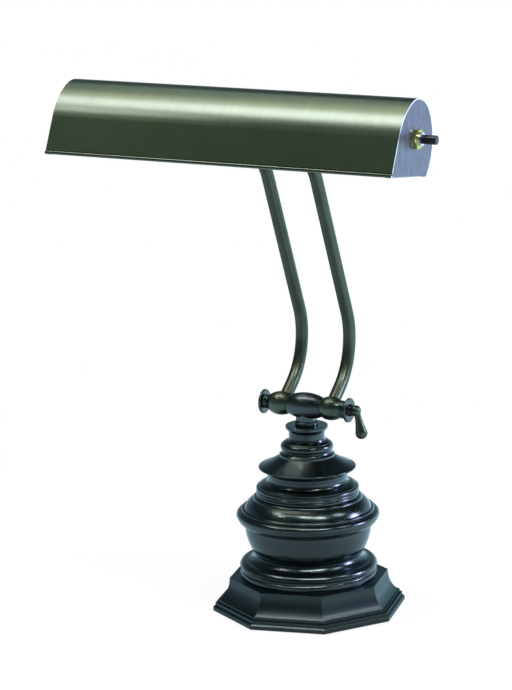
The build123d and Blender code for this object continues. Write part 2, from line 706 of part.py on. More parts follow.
# ---- arm curve in the YZ plane, from the lower socket to the upper one -------------------------
foot_heading = heading(90 - ARM_FOOT_LEAN)
tip_heading = heading(90 + ARM_CROOK_LEAN)
knuckle_point = Vector(0, knuckle_z)
with BuildLine() as arm_curve:
    foot = Line(
        knuckle_point + foot_heading * (BARREL_R - ARM_SOCKET_DEPTH),
        knuckle_point + foot_heading * ARM_FOOT_LENGTH,
    )
    bend = JernArc(foot @ 1, foot % 1, ARM_BEND_R, ARM_FOOT_LEAN + ARM_TOP_LEAN)
    shank = Line(bend @ 1, (bend @ 1) + (bend % 1) * ARM_SHANK_LENGTH)
    crook = JernArc(shank @ 1, shank % 1, ARM_CROOK_R, ARM_CROOK_LEAN - ARM_TOP_LEAN)
    tip_length = ARM_TIP_LENGTH - TOP_BARREL_R + TOP_SOCKET_DEPTH
    tip = Line(crook @ 1, (crook @ 1) + (crook % 1) * tip_length)
pivot = (tip @ 1) + tip_heading * (TOP_BARREL_R - TOP_SOCKET_DEPTH)
pivot_axis = Axis((0, pivot.X, pivot.Y), (1, 0, 0))
pivot_face = Plane(origin=(0, pivot.X, pivot.Y), x_dir=(1, 0, 0), z_dir=(0, -1, 0))

for side, name, length, end_r in (
    (-1, "left", LEFT_BARREL_LENGTH, LEFT_BARREL_END_R),
    (1, "right", RIGHT_BARREL_LENGTH, RIGHT_BARREL_END_R),
):
    arm_plane = Plane.YZ.offset(side * arm_x)
    arm_path = arm_plane.from_local_coords(arm_curve.line)
    with BuildPart() as barrel:
        with BuildSketch(knuckle_face):
            with BuildLine():
                inner = Line((side * barrel_start, 0), (side * barrel_start, BARREL_INNER_R))
                crown = ThreePointArc(
                    inner @ 1, (side * arm_x, BARREL_R), (side * (barrel_start + length), end_r))
                Polyline(crown @ 1, (side * (barrel_start + length), 0), inner @ 0)
            make_face()
        revolve(axis=knuckle_axis)
        with BuildSketch(Plane.YZ):
            with Locations((0, knuckle_z)):
                Circle(bolt_hole_r)
        extrude(amount=side * HUB_LENGTH * 2, mode=Mode.SUBTRACT)
        with BuildSketch(Plane(origin=arm_path @ 0, z_dir=arm_path % 0)):
            Circle(ARM_R + ARM_SOCKET_CLEARANCE)
        extrude(amount=ARM_FOOT_LENGTH, mode=Mode.SUBTRACT)
    save(barrel.part, f"{name}_barrel")

    with BuildPart() as arm:
        with BuildSketch(Plane(origin=arm_path @ 0, z_dir=arm_path % 0)):
            Circle(ARM_R)
            Circle(ARM_R - ARM_WALL, mode=Mode.SUBTRACT)
        sweep(path=arm_path)
    save(arm.part, f"{name}_arm")

    with BuildPart() as top_barrel:
        top_start = TOP_HUB_LENGTH / 2 + 2 * FACE_CLEARANCE
        with BuildSketch(pivot_face):
            with BuildLine():
                inner = Line((side * top_start, 0), (side * top_start, TOP_BARREL_END_R))
                crown = ThreePointArc(
                    inner @ 1,
                    (side * arm_x, TOP_BARREL_R),
                    (side * (top_start + TOP_BARREL_LENGTH), TOP_BARREL_END_R),
                )
                Polyline(crown @ 1, (side * (top_start + TOP_BARREL_LENGTH), 0), inner @ 0)
            make_face()
        revolve(axis=pivot_axis)
        with BuildSketch(Plane.YZ):
            with Locations((pivot.X, pivot.Y)):
                Circle(TOP_BOLT_R + BOLT_CLEARANCE)
        extrude(amount=side * TOP_HUB_LENGTH * 2, mode=Mode.SUBTRACT)
        with BuildSketch(Plane(origin=arm_path @ 1, z_dir=arm_path % 1)):
            Circle(ARM_R + ARM_SOCKET_CLEARANCE)
        extrude(amount=-ARM_TIP_LENGTH, mode=Mode.SUBTRACT)
    save(top_barrel.part, f"{name}_top_barrel")

# ---- bolt, its capped head on the left and the collar on the right -----------------------------
left_end = barrel_start + LEFT_BARREL_LENGTH + FACE_CLEARANCE
right_end = barrel_start + RIGHT_BARREL_LENGTH + FACE_CLEARANCE
right_face = right_end + RIGHT_NECK_LENGTH + CAP_DISC
cone_start = right_face + FACE_CLEARANCE
lever_start = cone_start + CONE_WASHER_LENGTH + FACE_CLEARANCE
lever_x = lever_start + LEVER_HUB_LENGTH / 2
groove_side = NECK_GROOVE * sqrt(2)

for side, name, start_x, neck_length, neck_r, ring_count in (
    (-1, "left", left_end, LEFT_NECK_LENGTH, LEFT_NECK_R, 2),
    (1, "right", right_end, RIGHT_NECK_LENGTH, RIGHT_NECK_R, 3),
):
    with BuildPart() as cap:
        with BuildSketch(knuckle_face):
            with Locations((side * (start_x + neck_length / 2), neck_r / 2)):
                Rectangle(neck_length, neck_r)
            pitch = neck_length / ring_count
            for ring in range(ring_count):
                with Locations((side * (start_x + pitch * (ring + 0.5)), neck_r)):
                    Rectangle(groove_side, groove_side, rotation=45, mode=Mode.SUBTRACT)
            with Locations((side * (start_x + neck_length + CAP_DISC / 2), CAP_DISC_R / 2)):
                Rectangle(CAP_DISC, CAP_DISC_R)
        revolve(axis=knuckle_axis)
        rim = cap.edges().filter_by(GeomType.CIRCLE).group_by(SortBy.RADIUS)[-1]
        fillet(rim, CAP_DISC / 3)
        with BuildSketch(Plane.YZ.offset(side * start_x)):
            with Locations((0, knuckle_z)):
                Circle(bolt_hole_r)
        depth = neck_length if side < 0 else neck_length + CAP_DISC
        extrude(amount=side * depth, mode=Mode.SUBTRACT)
    save(cap.part, f"{name}_cap")

with BuildPart() as knuckle_bolt:
    with BuildSketch(Plane.YZ.offset(-(left_end + LEFT_NECK_LENGTH - FACE_CLEARANCE))):
        with Locations((0, knuckle_z)):
            Circle(BOLT_R)
    bolt_length = left_end + LEFT_NECK_LENGTH - FACE_CLEARANCE + lever_start + LEVER_THREAD_DEPTH
    extrude(amount=bolt_length)
save(knuckle_bolt.part, "knuckle_bolt")

with BuildPart() as cone_washer:
    with BuildSketch(knuckle_face):
        Polygon(
            (cone_start, bolt_hole_r),
            (cone_start, CONE_WASHER_R),
            (cone_start + CONE_WASHER_LENGTH, LEVER_HUB_R),
            (cone_start + CONE_WASHER_LENGTH, bolt_hole_r),
            align=None,
        )
    revolve(axis=knuckle_axis)
save(cone_washer.part, "cone_washer")

# ---- lever: a short hub on the bolt and a flared handle that leans outward ---------------------
lever_down = Vector(sin(radians(LEVER_LEAN)), 0, -cos(radians(LEVER_LEAN)))
lever_plane = Plane(origin=(lever_x, 0, knuckle_z), x_dir=lever_down, z_dir=(0, -1, 0))
with BuildPart() as clamp_lever:
    with BuildSketch(knuckle_face):
        with BuildLine():
            face = Line((lever_start, 0), (lever_start, LEVER_HUB_R))
            dome = ThreePointArc(
                face @ 1,
                (lever_x + LEVER_HUB_LENGTH / 4, LEVER_HUB_R - LEVER_HUB_SAG),
                (lever_start + LEVER_HUB_LENGTH, 0),
            )
            Line(dome @ 1, face @ 0)
        make_face()
    revolve(axis=knuckle_axis)
    with BuildSketch(lever_plane):
        with BuildLine():
            Line((0, 0), (LEVER_REACH, 0))
            ball_x = LEVER_REACH - LEVER_END_R
            ball = CenterArc((ball_x, 0), LEVER_END_R, 0, LEVER_BALL_ARC)
            flare = SagittaArc(ball @ 1, (LEVER_HUB_R, LEVER_ROOT_R), LEVER_FLARE_SAG)
            Polyline(flare @ 1, (0, LEVER_ROOT_R), (0, 0))
        make_face()
    revolve(axis=Axis(lever_plane.origin, lever_plane.x_dir))
    with BuildSketch(Plane.YZ.offset(lever_start)):
        with Locations((0, knuckle_z)):
            Circle(bolt_hole_r)
    extrude(amount=LEVER_THREAD_DEPTH + FACE_CLEARANCE, mode=Mode.SUBTRACT)
save(clamp_lever.part, "clamp_lever")

# ---- upper knuckle: the reflector's hub and its threaded stub, between the two arm barrels -----
stub_heading = heading(STUB_HEADING)
stub_dir = Vector(0, stub_heading.X, stub_heading.Y)
stub_plane = Plane(origin=(0, pivot.X, pivot.Y), x_dir=(1, 0, 0), z_dir=stub_dir)
top_hub_half = TOP_HUB_LENGTH / 2
top_bolt_hole_r = TOP_BOLT_R + BOLT_CLEARANCE
nut_start = top_hub_half + 2 * FACE_CLEARANCE + TOP_BARREL_LENGTH + FACE_CLEARANCE

with BuildPart() as top_hub:
    with BuildSketch(pivot_face):
        with BuildLine():
            end = Line((-top_hub_half, 0), (-top_hub_half, TOP_HUB_END_R))
            crown = ThreePointArc(end @ 1, (0, TOP_HUB_R), (top_hub_half, TOP_HUB_END_R))
            Polyline(crown @ 1, (top_hub_half, 0), end @ 0)
        make_face()
    revolve(axis=pivot_axis)
    with BuildSketch(stub_plane):
        Circle(STUB_BOSS_R)
    extrude(amount=STUB_REACH - STUB_BOSS_GAP)
    with BuildSketch(stub_plane):
        Circle(STUB_R)
    extrude(amount=STUB_REACH + STUB_THREAD_LENGTH)
    with BuildSketch(stub_plane.offset(TOP_HUB_R)):
        Circle(STUB_BORE_R)
    extrude(amount=STUB_REACH + STUB_THREAD_LENGTH, mode=Mode.SUBTRACT)
    with BuildSketch(Plane.YZ.offset(-TOP_HUB_LENGTH)):
        with Locations((pivot.X, pivot.Y)):
            Circle(top_bolt_hole_r)
    extrude(amount=2 * TOP_HUB_LENGTH, mode=Mode.SUBTRACT)
save(top_hub.part, "top_hub")

with BuildPart() as top_bolt:
    with BuildSketch(Plane.YZ.offset(-(nut_start + CAP_NUT_LENGTH - CAP_NUT_WALL))):
        with Locations((pivot.X, pivot.Y)):
            Circle(TOP_BOLT_R)
    extrude(amount=2 * (nut_start + CAP_NUT_LENGTH - CAP_NUT_WALL))
save(top_bolt.part, "top_bolt")

with BuildPart() as cap_nuts:
    with BuildSketch(Plane.YZ.offset(nut_start)):
        with Locations((pivot.X, pivot.Y)):
            Circle(CAP_NUT_R)
    extrude(amount=CAP_NUT_LENGTH)
    fillet(cap_nuts.edges().sort_by(Axis.X)[-1], CAP_NUT_ROUND)
    with BuildSketch(Plane.YZ.offset(nut_start)):
        with Locations((pivot.X, pivot.Y)):
            Circle(top_bolt_hole_r)
    extrude(amount=CAP_NUT_LENGTH - CAP_NUT_WALL + FACE_CLEARANCE, mode=Mode.SUBTRACT)
    mirror(about=Plane.YZ)
save(cap_nuts.part, "cap_nuts")

# ---- reflector section in the YZ plane, set out from where the stub meets its back wall --------
front_heading = 90 - FRONT_LEAN
crown_heading = front_heading - CROWN_FRONT_ARC
back_heading = crown_heading - CROWN_BACK_ARC
back_centre = Vector(pivot.X, pivot.Y) + stub_heading * (STUB_REACH + BACK_R)
crown_back_centre = back_centre - heading(back_heading - 90) * (BACK_R - CROWN_BACK_R)
crown_front_centre = crown_back_centre + heading(crown_heading - 90) * (CROWN_FRONT_R - CROWN_BACK_R)
front_normal = heading(front_heading - 90)
front_top = crown_front_centre - front_normal * CROWN_FRONT_R
front_edge = front_top - heading(front_heading) * FRONT_WALL


def section_curve(inset, trim=0):
    """Draws the section, inset from its outer face, front edge to back edge less a trimmed angle."""
    start = front_edge + front_normal * inset
    wall = Line(start, front_top + front_normal * inset)
    crown_front = JernArc(wall @ 1, wall % 1, CROWN_FRONT_R - inset, -CROWN_FRONT_ARC)
    crown_back = JernArc(
        crown_front @ 1, crown_front % 1, CROWN_BACK_R - inset, -CROWN_BACK_ARC)
    back = JernArc(crown_back @ 1, crown_back % 1, BACK_R - inset, trim - BACK_ARC)
    return wall @ 0, back @ 1


def section_strip(outer, inner, trim=0):
    """Draws the sheet between two insets of the section, square at both edges."""
    front_outer, back_outer = section_curve(outer, trim)
    front_inner, back_inner = section_curve(inner, trim)
    Line(front_outer, front_inner)
    Line(back_outer, back_inner)


def section_outline(inset):
    """Draws the section shut across the mouth."""
    front, back = section_curve(inset)
    Line(back, front)


plate_outer_x = REFLECTOR_LENGTH / 2 - END_PLATE_RECESS
plate_inner_x = plate_outer_x - END_PLATE
plate_inset = REFLECTOR_WALL + END_PLATE_CLEARANCE
switch_point = front_edge + Vector(SWITCH_SETBACK, SWITCH_RISE)
hem_half = plate_outer_x - END_PLATE_FLANGE - SEAT_CLEARANCE

hem_inset = HEM_THICKNESS / 2
front_hem = (front_edge + heading(front_heading) * (HEM_HEIGHT / 2)
             + front_normal * (REFLECTOR_WALL - hem_inset))
back_edge_heading = back_heading - BACK_ARC
back_edge_out = heading(back_edge_heading + 90)
back_hem = (back_centre + back_edge_out * (BACK_R - hem_inset)
            - heading(back_edge_heading) * (HEM_HEIGHT / 2))
back_corner = back_centre + back_edge_out * (BACK_R - REFLECTOR_WALL / 2)
flange_trim = degrees(END_CORNER_R / BACK_R)

with BuildPart() as reflector:
    with BuildSketch(Plane.YZ):
        with BuildLine():
            section_strip(0, REFLECTOR_WALL)
        make_face()
    extrude(amount=REFLECTOR_LENGTH / 2, both=True)
    for side in (-1, 1):
        corner = (side * REFLECTOR_LENGTH / 2, back_corner.X, back_corner.Y)
        fillet(reflector.edges().sort_by_distance(corner)[0], END_CORNER_R)
    with BuildSketch(Plane.YZ):
        with Locations(Location(front_hem, front_heading)):
            SlotOverall(HEM_HEIGHT, HEM_THICKNESS)
    extrude(amount=REFLECTOR_LENGTH / 2, both=True)
    with BuildSketch(Plane.YZ):
        with Locations(Location(back_hem, back_edge_heading)):
            SlotOverall(HEM_HEIGHT, HEM_THICKNESS)
    extrude(amount=hem_half, both=True)
    with BuildSketch(stub_plane):
        Circle(STUB_R + FACE_CLEARANCE)
    extrude(amount=STUB_REACH + STUB_THREAD_LENGTH, mode=Mode.SUBTRACT)
save(reflector.part, "reflector")

for side, name in ((-1, "left"), (1, "right")):
    with BuildPart() as end_plate:
        with BuildSketch(Plane.YZ.offset(side * plate_outer_x)) as end_plate_face:
            with BuildLine():
                section_outline(plate_inset)
            make_face()
            corner = back_centre + back_edge_out * (BACK_R - plate_inset)
            fillet(end_plate_face.vertices().sort_by_distance(corner)[0], END_CORNER_R)
        extrude(amount=-side * END_PLATE)
        outer_face = end_plate.faces().sort_by(Axis.X)[-1 if side > 0 else 0]
        fillet(outer_face.edges(), END_PLATE_ROUND)
        with BuildSketch(Plane.YZ.offset(side * plate_inner_x)):
            with BuildLine():
                section_strip(plate_inset, plate_inset + END_PLATE, flange_trim)
            make_face()
        extrude(amount=-side * (END_PLATE_FLANGE - END_PLATE))
        if side > 0:
            with BuildSketch(Plane.YZ.offset(plate_outer_x)):
                with Locations((switch_point.X, switch_point.Y)):
                    Circle(BUSHING_R + BUSHING_CLEARANCE)
            extrude(amount=-END_PLATE, mode=Mode.SUBTRACT)
    save(end_plate.part, f"{name}_end_plate")

# ---- lamp bracket and sockets, along the stub's axis -------------------------------------------
inner_r = BACK_R - REFLECTOR_WALL
foot_drop = inner_r - sqrt(inner_r**2 - BRACKET_FOOT_HALF**2)
foot_start = STUB_REACH + REFLECTOR_WALL + foot_drop + FACE_CLEARANCE
nut_seat = foot_start + BRACKET_SHEET + FACE_CLEARANCE
side_plane = Plane(origin=(0, pivot.X, pivot.Y), x_dir=stub_dir, z_dir=(1, 0, 0))
socket_point = Vector(pivot.X, pivot.Y) + stub_heading * SOCKET_DISTANCE
socket_axis = Axis((0, socket_point.X, socket_point.Y), (1, 0, 0))
bracket_half = BRACKET_WIDTH / 2
screw_points = (
    (SOCKET_DISTANCE - SOCKET_SCREW_SPREAD, 0),
    (SOCKET_DISTANCE + SOCKET_SCREW_SPREAD, 0),
)

with BuildPart() as socket_bracket:
    with BuildSketch(stub_plane.offset(foot_start)):
        Rectangle(BRACKET_WIDTH, 2 * BRACKET_FOOT_HALF)
        Circle(STUB_R + FACE_CLEARANCE, mode=Mode.SUBTRACT)
    extrude(amount=BRACKET_SHEET)
    for side in (-1, 1):
        with BuildSketch(side_plane.offset(side * bracket_half)):
            with BuildLine():
                root = Line((foot_start, -BRACKET_FOOT_HALF), (foot_start, BRACKET_FOOT_HALF))
                upper = Line(root @ 1, (SOCKET_DISTANCE, BRACKET_EAR_R))
                nose = ThreePointArc(
                    upper @ 1,
                    (SOCKET_DISTANCE + BRACKET_EAR_R, 0),
                    (SOCKET_DISTANCE, -BRACKET_EAR_R),
                )
                Line(nose @ 1, root @ 0)
            make_face()
            with Locations(*screw_points):
                Circle(SOCKET_SCREW_R + FACE_CLEARANCE, mode=Mode.SUBTRACT)
        extrude(amount=-side * BRACKET_SHEET)
save(socket_bracket.part, "socket_bracket")

with BuildPart() as stub_nut:
    with BuildSketch(stub_plane.offset(nut_seat)):
        RegularPolygon(STUB_NUT_FLATS / 2, 6, major_radius=False)
        Circle(STUB_R + FACE_CLEARANCE, mode=Mode.SUBTRACT)
    extrude(amount=STUB_NUT)
save(stub_nut.part, "stub_nut")

with BuildPart() as socket_screws:
    with BuildSketch(side_plane.offset(bracket_half - BRACKET_SHEET - FACE_CLEARANCE)):
        with Locations(*screw_points):
            Circle(SOCKET_SCREW_HEAD_R)
    extrude(amount=-SOCKET_SCREW_HEAD)
    with BuildSketch(side_plane.offset(bracket_half - BRACKET_SHEET - FACE_CLEARANCE)):
        with Locations(*screw_points):
            Circle(SOCKET_SCREW_R)
    extrude(amount=SOCKET_SCREW_LENGTH)
    mirror(about=Plane.YZ)
save(socket_screws.part, "socket_screws")

socket_start = bracket_half + FACE_CLEARANCE
socket_face = Plane(
    origin=(0, socket_point.X, socket_point.Y), x_dir=(1, 0, 0), z_dir=(0, -1, 0))
cap_start = socket_start + SOCKET_FLOOR + FACE_CLEARANCE
glass_start = cap_start + BULB_CAP_LENGTH - BULB_NECK_DEPTH
glass_end = plate_inner_x - SWITCH_BODY_LENGTH - BULB_END_GAP

for side, name in ((-1, "left"), (1, "right")):
    with BuildPart() as socket:
        with BuildSketch(socket_face):
            with Locations((side * (socket_start + SOCKET_LENGTH / 2), SOCKET_R / 2)):
                Rectangle(SOCKET_LENGTH, SOCKET_R)
            with Locations((side * (socket_start + SOCKET_LENGTH), SOCKET_R)):
                Rectangle(2 * SOCKET_LIP, 2 * SOCKET_LIP, mode=Mode.SUBTRACT)
        revolve(axis=socket_axis)
        with BuildSketch(Plane.YZ.offset(side * (socket_start + SOCKET_FLOOR))):
            with Locations((socket_point.X, socket_point.Y)):
                Circle(SOCKET_R - SOCKET_WALL)
        extrude(amount=side * SOCKET_LENGTH, mode=Mode.SUBTRACT)
        with BuildSketch(side_plane.offset(side * socket_start)):
            with Locations(*screw_points):
                Circle(SOCKET_SCREW_R + FACE_CLEARANCE)
        extrude(amount=side * SOCKET_SCREW_LENGTH, mode=Mode.SUBTRACT)
    save(socket.part, f"{name}_socket")

    with BuildPart() as bulb:
        with BuildSketch(socket_face):
            with BuildLine():
                neck = Line((side * glass_start, 0), (side * glass_start, BULB_NECK_R))
                swell = Line(neck @ 1, (side * (socket_start + SOCKET_LENGTH), BULB_R))
                tube = Line(swell @ 1, (side * (glass_end - BULB_R), BULB_R))
                dome = ThreePointArc(
                    tube @ 1,
                    (side * (glass_end - BULB_R * (1 - sqrt(0.5))), BULB_R * sqrt(0.5)),
                    (side * glass_end, 0),
                )
                Line(dome @ 1, neck @ 0)
            make_face()
        revolve(axis=socket_axis)
        offset(amount=-BULB_WALL, openings=bulb.faces().filter_by(GeomType.PLANE))
    save(bulb.part, f"{name}_bulb")

with BuildPart() as bulb_caps:
    with BuildSketch(Plane.YZ.offset(cap_start)):
        with Locations((socket_point.X, socket_point.Y)):
            Circle(BULB_CAP_R)
    extrude(amount=BULB_CAP_LENGTH)
    fillet(bulb_caps.edges().sort_by(Axis.X)[0], BULB_CAP_R / 4)
    with BuildSketch(Plane.YZ.offset(cap_start + BULB_CAP_FLOOR)):
        with Locations((socket_point.X, socket_point.Y)):
            Circle(BULB_CAP_R - BULB_CAP_WALL)
    extrude(amount=BULB_CAP_LENGTH, mode=Mode.SUBTRACT)
    mirror(about=Plane.YZ)
save(bulb_caps.part, "bulb_caps")

# ---- switch in the right end plate, along X ----------------------------------------------------
nut_x = plate_outer_x + LOCK_WASHER + FACE_CLEARANCE
bushing_end_x = plate_outer_x + BUSHING_LENGTH
button_bore_r = BUTTON_R + BUTTON_CLEARANCE
button_start_x = plate_inner_x - BUTTON_ROOT
nut_corner_r = SWITCH_NUT_FLATS / sqrt(3)
switch_axis = Axis((0, switch_point.X, switch_point.Y), (1, 0, 0))
switch_face = Plane(origin=(0, switch_point.X, switch_point.Y), x_dir=(1, 0, 0), z_dir=(0, -1, 0))

with BuildPart() as switch_body:
    with BuildSketch(Plane.YZ.offset(plate_inner_x - FACE_CLEARANCE)):
        with Locations((switch_point.X, switch_point.Y)):
            Circle(SWITCH_BODY_R)
    extrude(amount=-SWITCH_BODY_LENGTH)
    chamfer(switch_body.edges().sort_by(Axis.X)[0], SWITCH_BODY_R / 8)
    with BuildSketch(Plane.YZ.offset(plate_inner_x)):
        with Locations((switch_point.X, switch_point.Y)):
            Circle(BUSHING_R + BUSHING_CLEARANCE)
    extrude(amount=-BUSHING_ROOT, mode=Mode.SUBTRACT)
    with BuildSketch(Plane.YZ.offset(plate_inner_x)):
        with Locations((switch_point.X, switch_point.Y)):
            Circle(button_bore_r)
    extrude(amount=-(BUTTON_ROOT + BUTTON_TRAVEL + BUTTON_ROUND), mode=Mode.SUBTRACT)
save(switch_body.part, "switch_body")

with BuildPart() as switch_bushing:
    with BuildSketch(Plane.YZ.offset(plate_inner_x - BUSHING_ROOT + FACE_CLEARANCE)):
        with Locations((switch_point.X, switch_point.Y)):
            Circle(BUSHING_R)
            Circle(button_bore_r, mode=Mode.SUBTRACT)
    extrude(amount=bushing_end_x - plate_inner_x + BUSHING_ROOT - FACE_CLEARANCE)
save(switch_bushing.part, "switch_bushing")

with BuildPart() as lock_washer:
    with BuildSketch(Plane.YZ.offset(plate_outer_x + FACE_CLEARANCE)):
        with Locations(Location((switch_point.X, switch_point.Y), LOCK_TAB_HEADING)):
            Circle(LOCK_WASHER_R)
            with Locations((LOCK_TAB_REACH / 2, 0)):
                Rectangle(LOCK_TAB_REACH, LOCK_TAB_WIDTH)
            Circle(BUSHING_R + BUSHING_CLEARANCE, mode=Mode.SUBTRACT)
    extrude(amount=LOCK_WASHER - FACE_CLEARANCE)
save(lock_washer.part, "lock_washer")

with BuildPart() as switch_nut:
    with BuildSketch(Plane.YZ.offset(nut_x)):
        with Locations((switch_point.X, switch_point.Y)):
            RegularPolygon(SWITCH_NUT_FLATS / 2, 6, major_radius=False)
            Circle(BUSHING_R + BUSHING_CLEARANCE, mode=Mode.SUBTRACT)
    extrude(amount=SWITCH_NUT)
    nut_end_x = nut_x + SWITCH_NUT
    with BuildSketch(switch_face):
        Polygon(
            (nut_x, 0),
            (nut_x, nut_corner_r),
            (nut_end_x - SWITCH_NUT_BEVEL, nut_corner_r),
            (nut_end_x, SWITCH_NUT_FLATS / 2),
            (nut_end_x, 0),
            align=None,
        )
    revolve(axis=switch_axis, mode=Mode.INTERSECT)
save(switch_nut.part, "switch_nut")

with BuildPart() as switch_button:
    with BuildSketch(Plane.YZ.offset(button_start_x)):
        with Locations((switch_point.X, switch_point.Y)):
            Circle(BUTTON_R)
    extrude(amount=bushing_end_x + BUTTON_REACH - button_start_x)
    fillet(switch_button.edges().sort_by(Axis.X)[-1], BUTTON_ROUND)
save(switch_button.part, "switch_button")
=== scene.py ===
"""Finishes, small detail and studio for a piano lamp with two bent arms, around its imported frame.

Sizes are in metres. The lamp stands at the origin with +Z up, and its shade looks towards -Y.
"""

import logging
import math
from collections.abc import Sequence
from dataclasses import dataclass
from enum import Enum

import bmesh
import bpy
from mathutils import Matrix, Vector


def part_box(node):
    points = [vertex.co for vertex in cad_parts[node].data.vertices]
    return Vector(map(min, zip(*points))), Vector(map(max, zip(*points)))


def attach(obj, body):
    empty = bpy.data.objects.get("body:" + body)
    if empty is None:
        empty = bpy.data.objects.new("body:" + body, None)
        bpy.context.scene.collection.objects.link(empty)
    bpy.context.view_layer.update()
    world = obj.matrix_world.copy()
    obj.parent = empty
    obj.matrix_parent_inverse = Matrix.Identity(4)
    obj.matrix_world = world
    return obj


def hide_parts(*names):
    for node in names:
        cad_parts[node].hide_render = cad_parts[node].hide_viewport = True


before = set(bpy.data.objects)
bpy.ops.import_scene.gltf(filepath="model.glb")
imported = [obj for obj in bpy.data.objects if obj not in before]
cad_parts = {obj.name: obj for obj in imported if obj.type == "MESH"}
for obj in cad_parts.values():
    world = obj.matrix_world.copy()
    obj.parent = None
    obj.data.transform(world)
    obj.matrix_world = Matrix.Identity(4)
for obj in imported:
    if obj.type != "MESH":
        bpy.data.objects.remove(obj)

Colour = tuple[float, float, float]
Point = tuple[float, float, float]
Range = tuple[float, float]
Socket = bpy.types.NodeSocket

MM = 0.001
WHITE = (1.0, 1.0, 1.0)
log = logging.getLogger("piano_lamp")


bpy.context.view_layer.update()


# ------------------------------------------------------------------ node trees


class NodeGraph:
    """A node tree while it is being wired."""

    def __init__(self, tree: bpy.types.NodeTree) -> None:
        """Takes up the tree that is to be wired."""
        self.tree = tree

    def feed(self, socket: Socket, value: object) -> None:
        """Links a socket to another one, or sets its constant.

        Args:
            socket: The input to feed.
            value: An output socket, or a constant.
        """
        if isinstance(value, Socket):
            self.tree.links.new(value, socket)
        else:
            socket.default_value = value

    def node(self, kind: str, feeds: dict | None = None, **settings: object) -> bpy.types.Node:
        """Adds a node.

        Args:
            kind: The node's type.
            feeds: What goes into its inputs, by name or number.
            settings: Its own properties.

        Returns:
            The new node.
        """
        made = self.tree.nodes.new(kind)
        for name, value in settings.items():
            setattr(made, name, value)
        for key, value in (feeds or {}).items():
            self.feed(made.inputs[key], value)
        return made

    def maths(self, operation: str, first: object, second: object = 0.0) -> Socket:
        """The result of one number sum."""
        return self.node("ShaderNodeMath", {0: first, 1: second}, operation=operation).outputs[0]

    def vectors(self, operation: str, first: object, second: object = (0.0, 0.0, 0.0)) -> Socket:
        """The result of one vector sum.

        Args:
            operation: The sum.
            first: Its first vector.
            second: Its second vector, where it takes one.

        Returns:
            A number for a length or a dot product, and a vector for the rest.
        """
        made = self.node("ShaderNodeVectorMath", {0: first, 1: second}, operation=operation)
        return made.outputs["Value" if operation in ("LENGTH", "DOT_PRODUCT") else "Vector"]

    def parts(self, vector: Socket) -> bpy.types.NodeOutputs:
        """A vector's X, Y and Z."""
        return self.node("ShaderNodeSeparateXYZ", {0: vector}).outputs

    def coordinates(self, kind: str) -> Socket:
        """One of the coordinates that the surface or the sky offers."""
        return self.node("ShaderNodeTexCoord").outputs[kind]

    def spread(
        self, value: object, low: float, high: float, start: float = 0.0, end: float = 1.0
    ) -> Socket:
        """A value mapped smoothly from low..high to start..end.

        Args:
            value: The value.
            low: What becomes start.
            high: What becomes end.
            start: The result at low, and beyond it.
            end: The result at high, and beyond it.

        Returns:
            The mapped value.
        """
        feeds = {"Value": value, "From Min": low, "From Max": high, "To Min": start, "To Max": end}
        made = self.node("ShaderNodeMapRange", feeds, interpolation_type="SMOOTHSTEP")
        return made.outputs["Result"]


class MaterialGraph(NodeGraph):
    """A material's node tree, round the one shader that every finish uses."""

    def __init__(self, name: str) -> None:
        """Starts the material.

        Args:
            name: The material's name.
        """
        self.material = bpy.data.materials.new(name)
        self.material.use_nodes = True
        super().__init__(self.material.node_tree)
        self.shader = self.tree.nodes["Principled BSDF"]

    def set(self, **values: object) -> None:
        """Feeds the shader's inputs, with underscores in place of the blanks in their names."""
        for name, value in values.items():
            self.feed(self.shader.inputs[name.replace("_", " ")], value)

    def noise(
        self, point: Socket, scale: float, detail: float = 3.0, roughness: float = 0.55
    ) -> Socket:
        """A soft random field.

        Args:
            point: The coordinates that it follows.
            scale: Its waves for each unit of those coordinates.
            detail: How many finer layers it has.
            roughness: How strong the finer layers are.

        Returns:
            A value from 0 to 1.
        """
        feeds = {"Vector": point, "Scale": scale, "Detail": detail, "Roughness": roughness}
        return self.node("ShaderNodeTexNoise", feeds).outputs["Fac"]

    def blend(self, factor: Socket, first: object, second: object) -> Socket:
        """Mixes two colours.

        Args:
            factor: The share of the second one.
            first: A colour, or a socket that gives one.
            second: The other one.

        Returns:
            The mixed colour.
        """
        made = self.node("ShaderNodeMix", data_type="RGBA")
        self.feed(made.inputs[0], factor)
        for socket, value in ((made.inputs[6], first), (made.inputs[7], second)):
            self.feed(socket, (*value, 1.0) if isinstance(value, tuple) else value)
        return made.outputs[2]

    def bump(
        self, height: Socket, strength: float, depth: float, under: Socket | None = None
    ) -> Socket:
        """A normal tilted by a height.

        Args:
            height: The height field.
            strength: How much of it shows.
            depth: The height that a value of 1 stands for.
            under: A normal to start from.

        Returns:
            The tilted normal.
        """
        feeds = {"Height": height, "Strength": strength, "Distance": depth}
        if under is not None:
            feeds["Normal"] = under
        return self.node("ShaderNodeBump", feeds).outputs["Normal"]

    def edges(self, width: float) -> Socket:
        """Nearly 1 along arrises and 0 on open faces.

        Args:
            width: How far the mask reaches from an arris.

        Returns:
            The mask.
        """
        rounded = self.node("ShaderNodeBevel", {"Radius": width}, samples=4).outputs["Normal"]
        plain = self.node("ShaderNodeNewGeometry").outputs["Normal"]
        return self.spread(self.vectors("DOT_PRODUCT", rounded, plain), 0.995, 0.8)


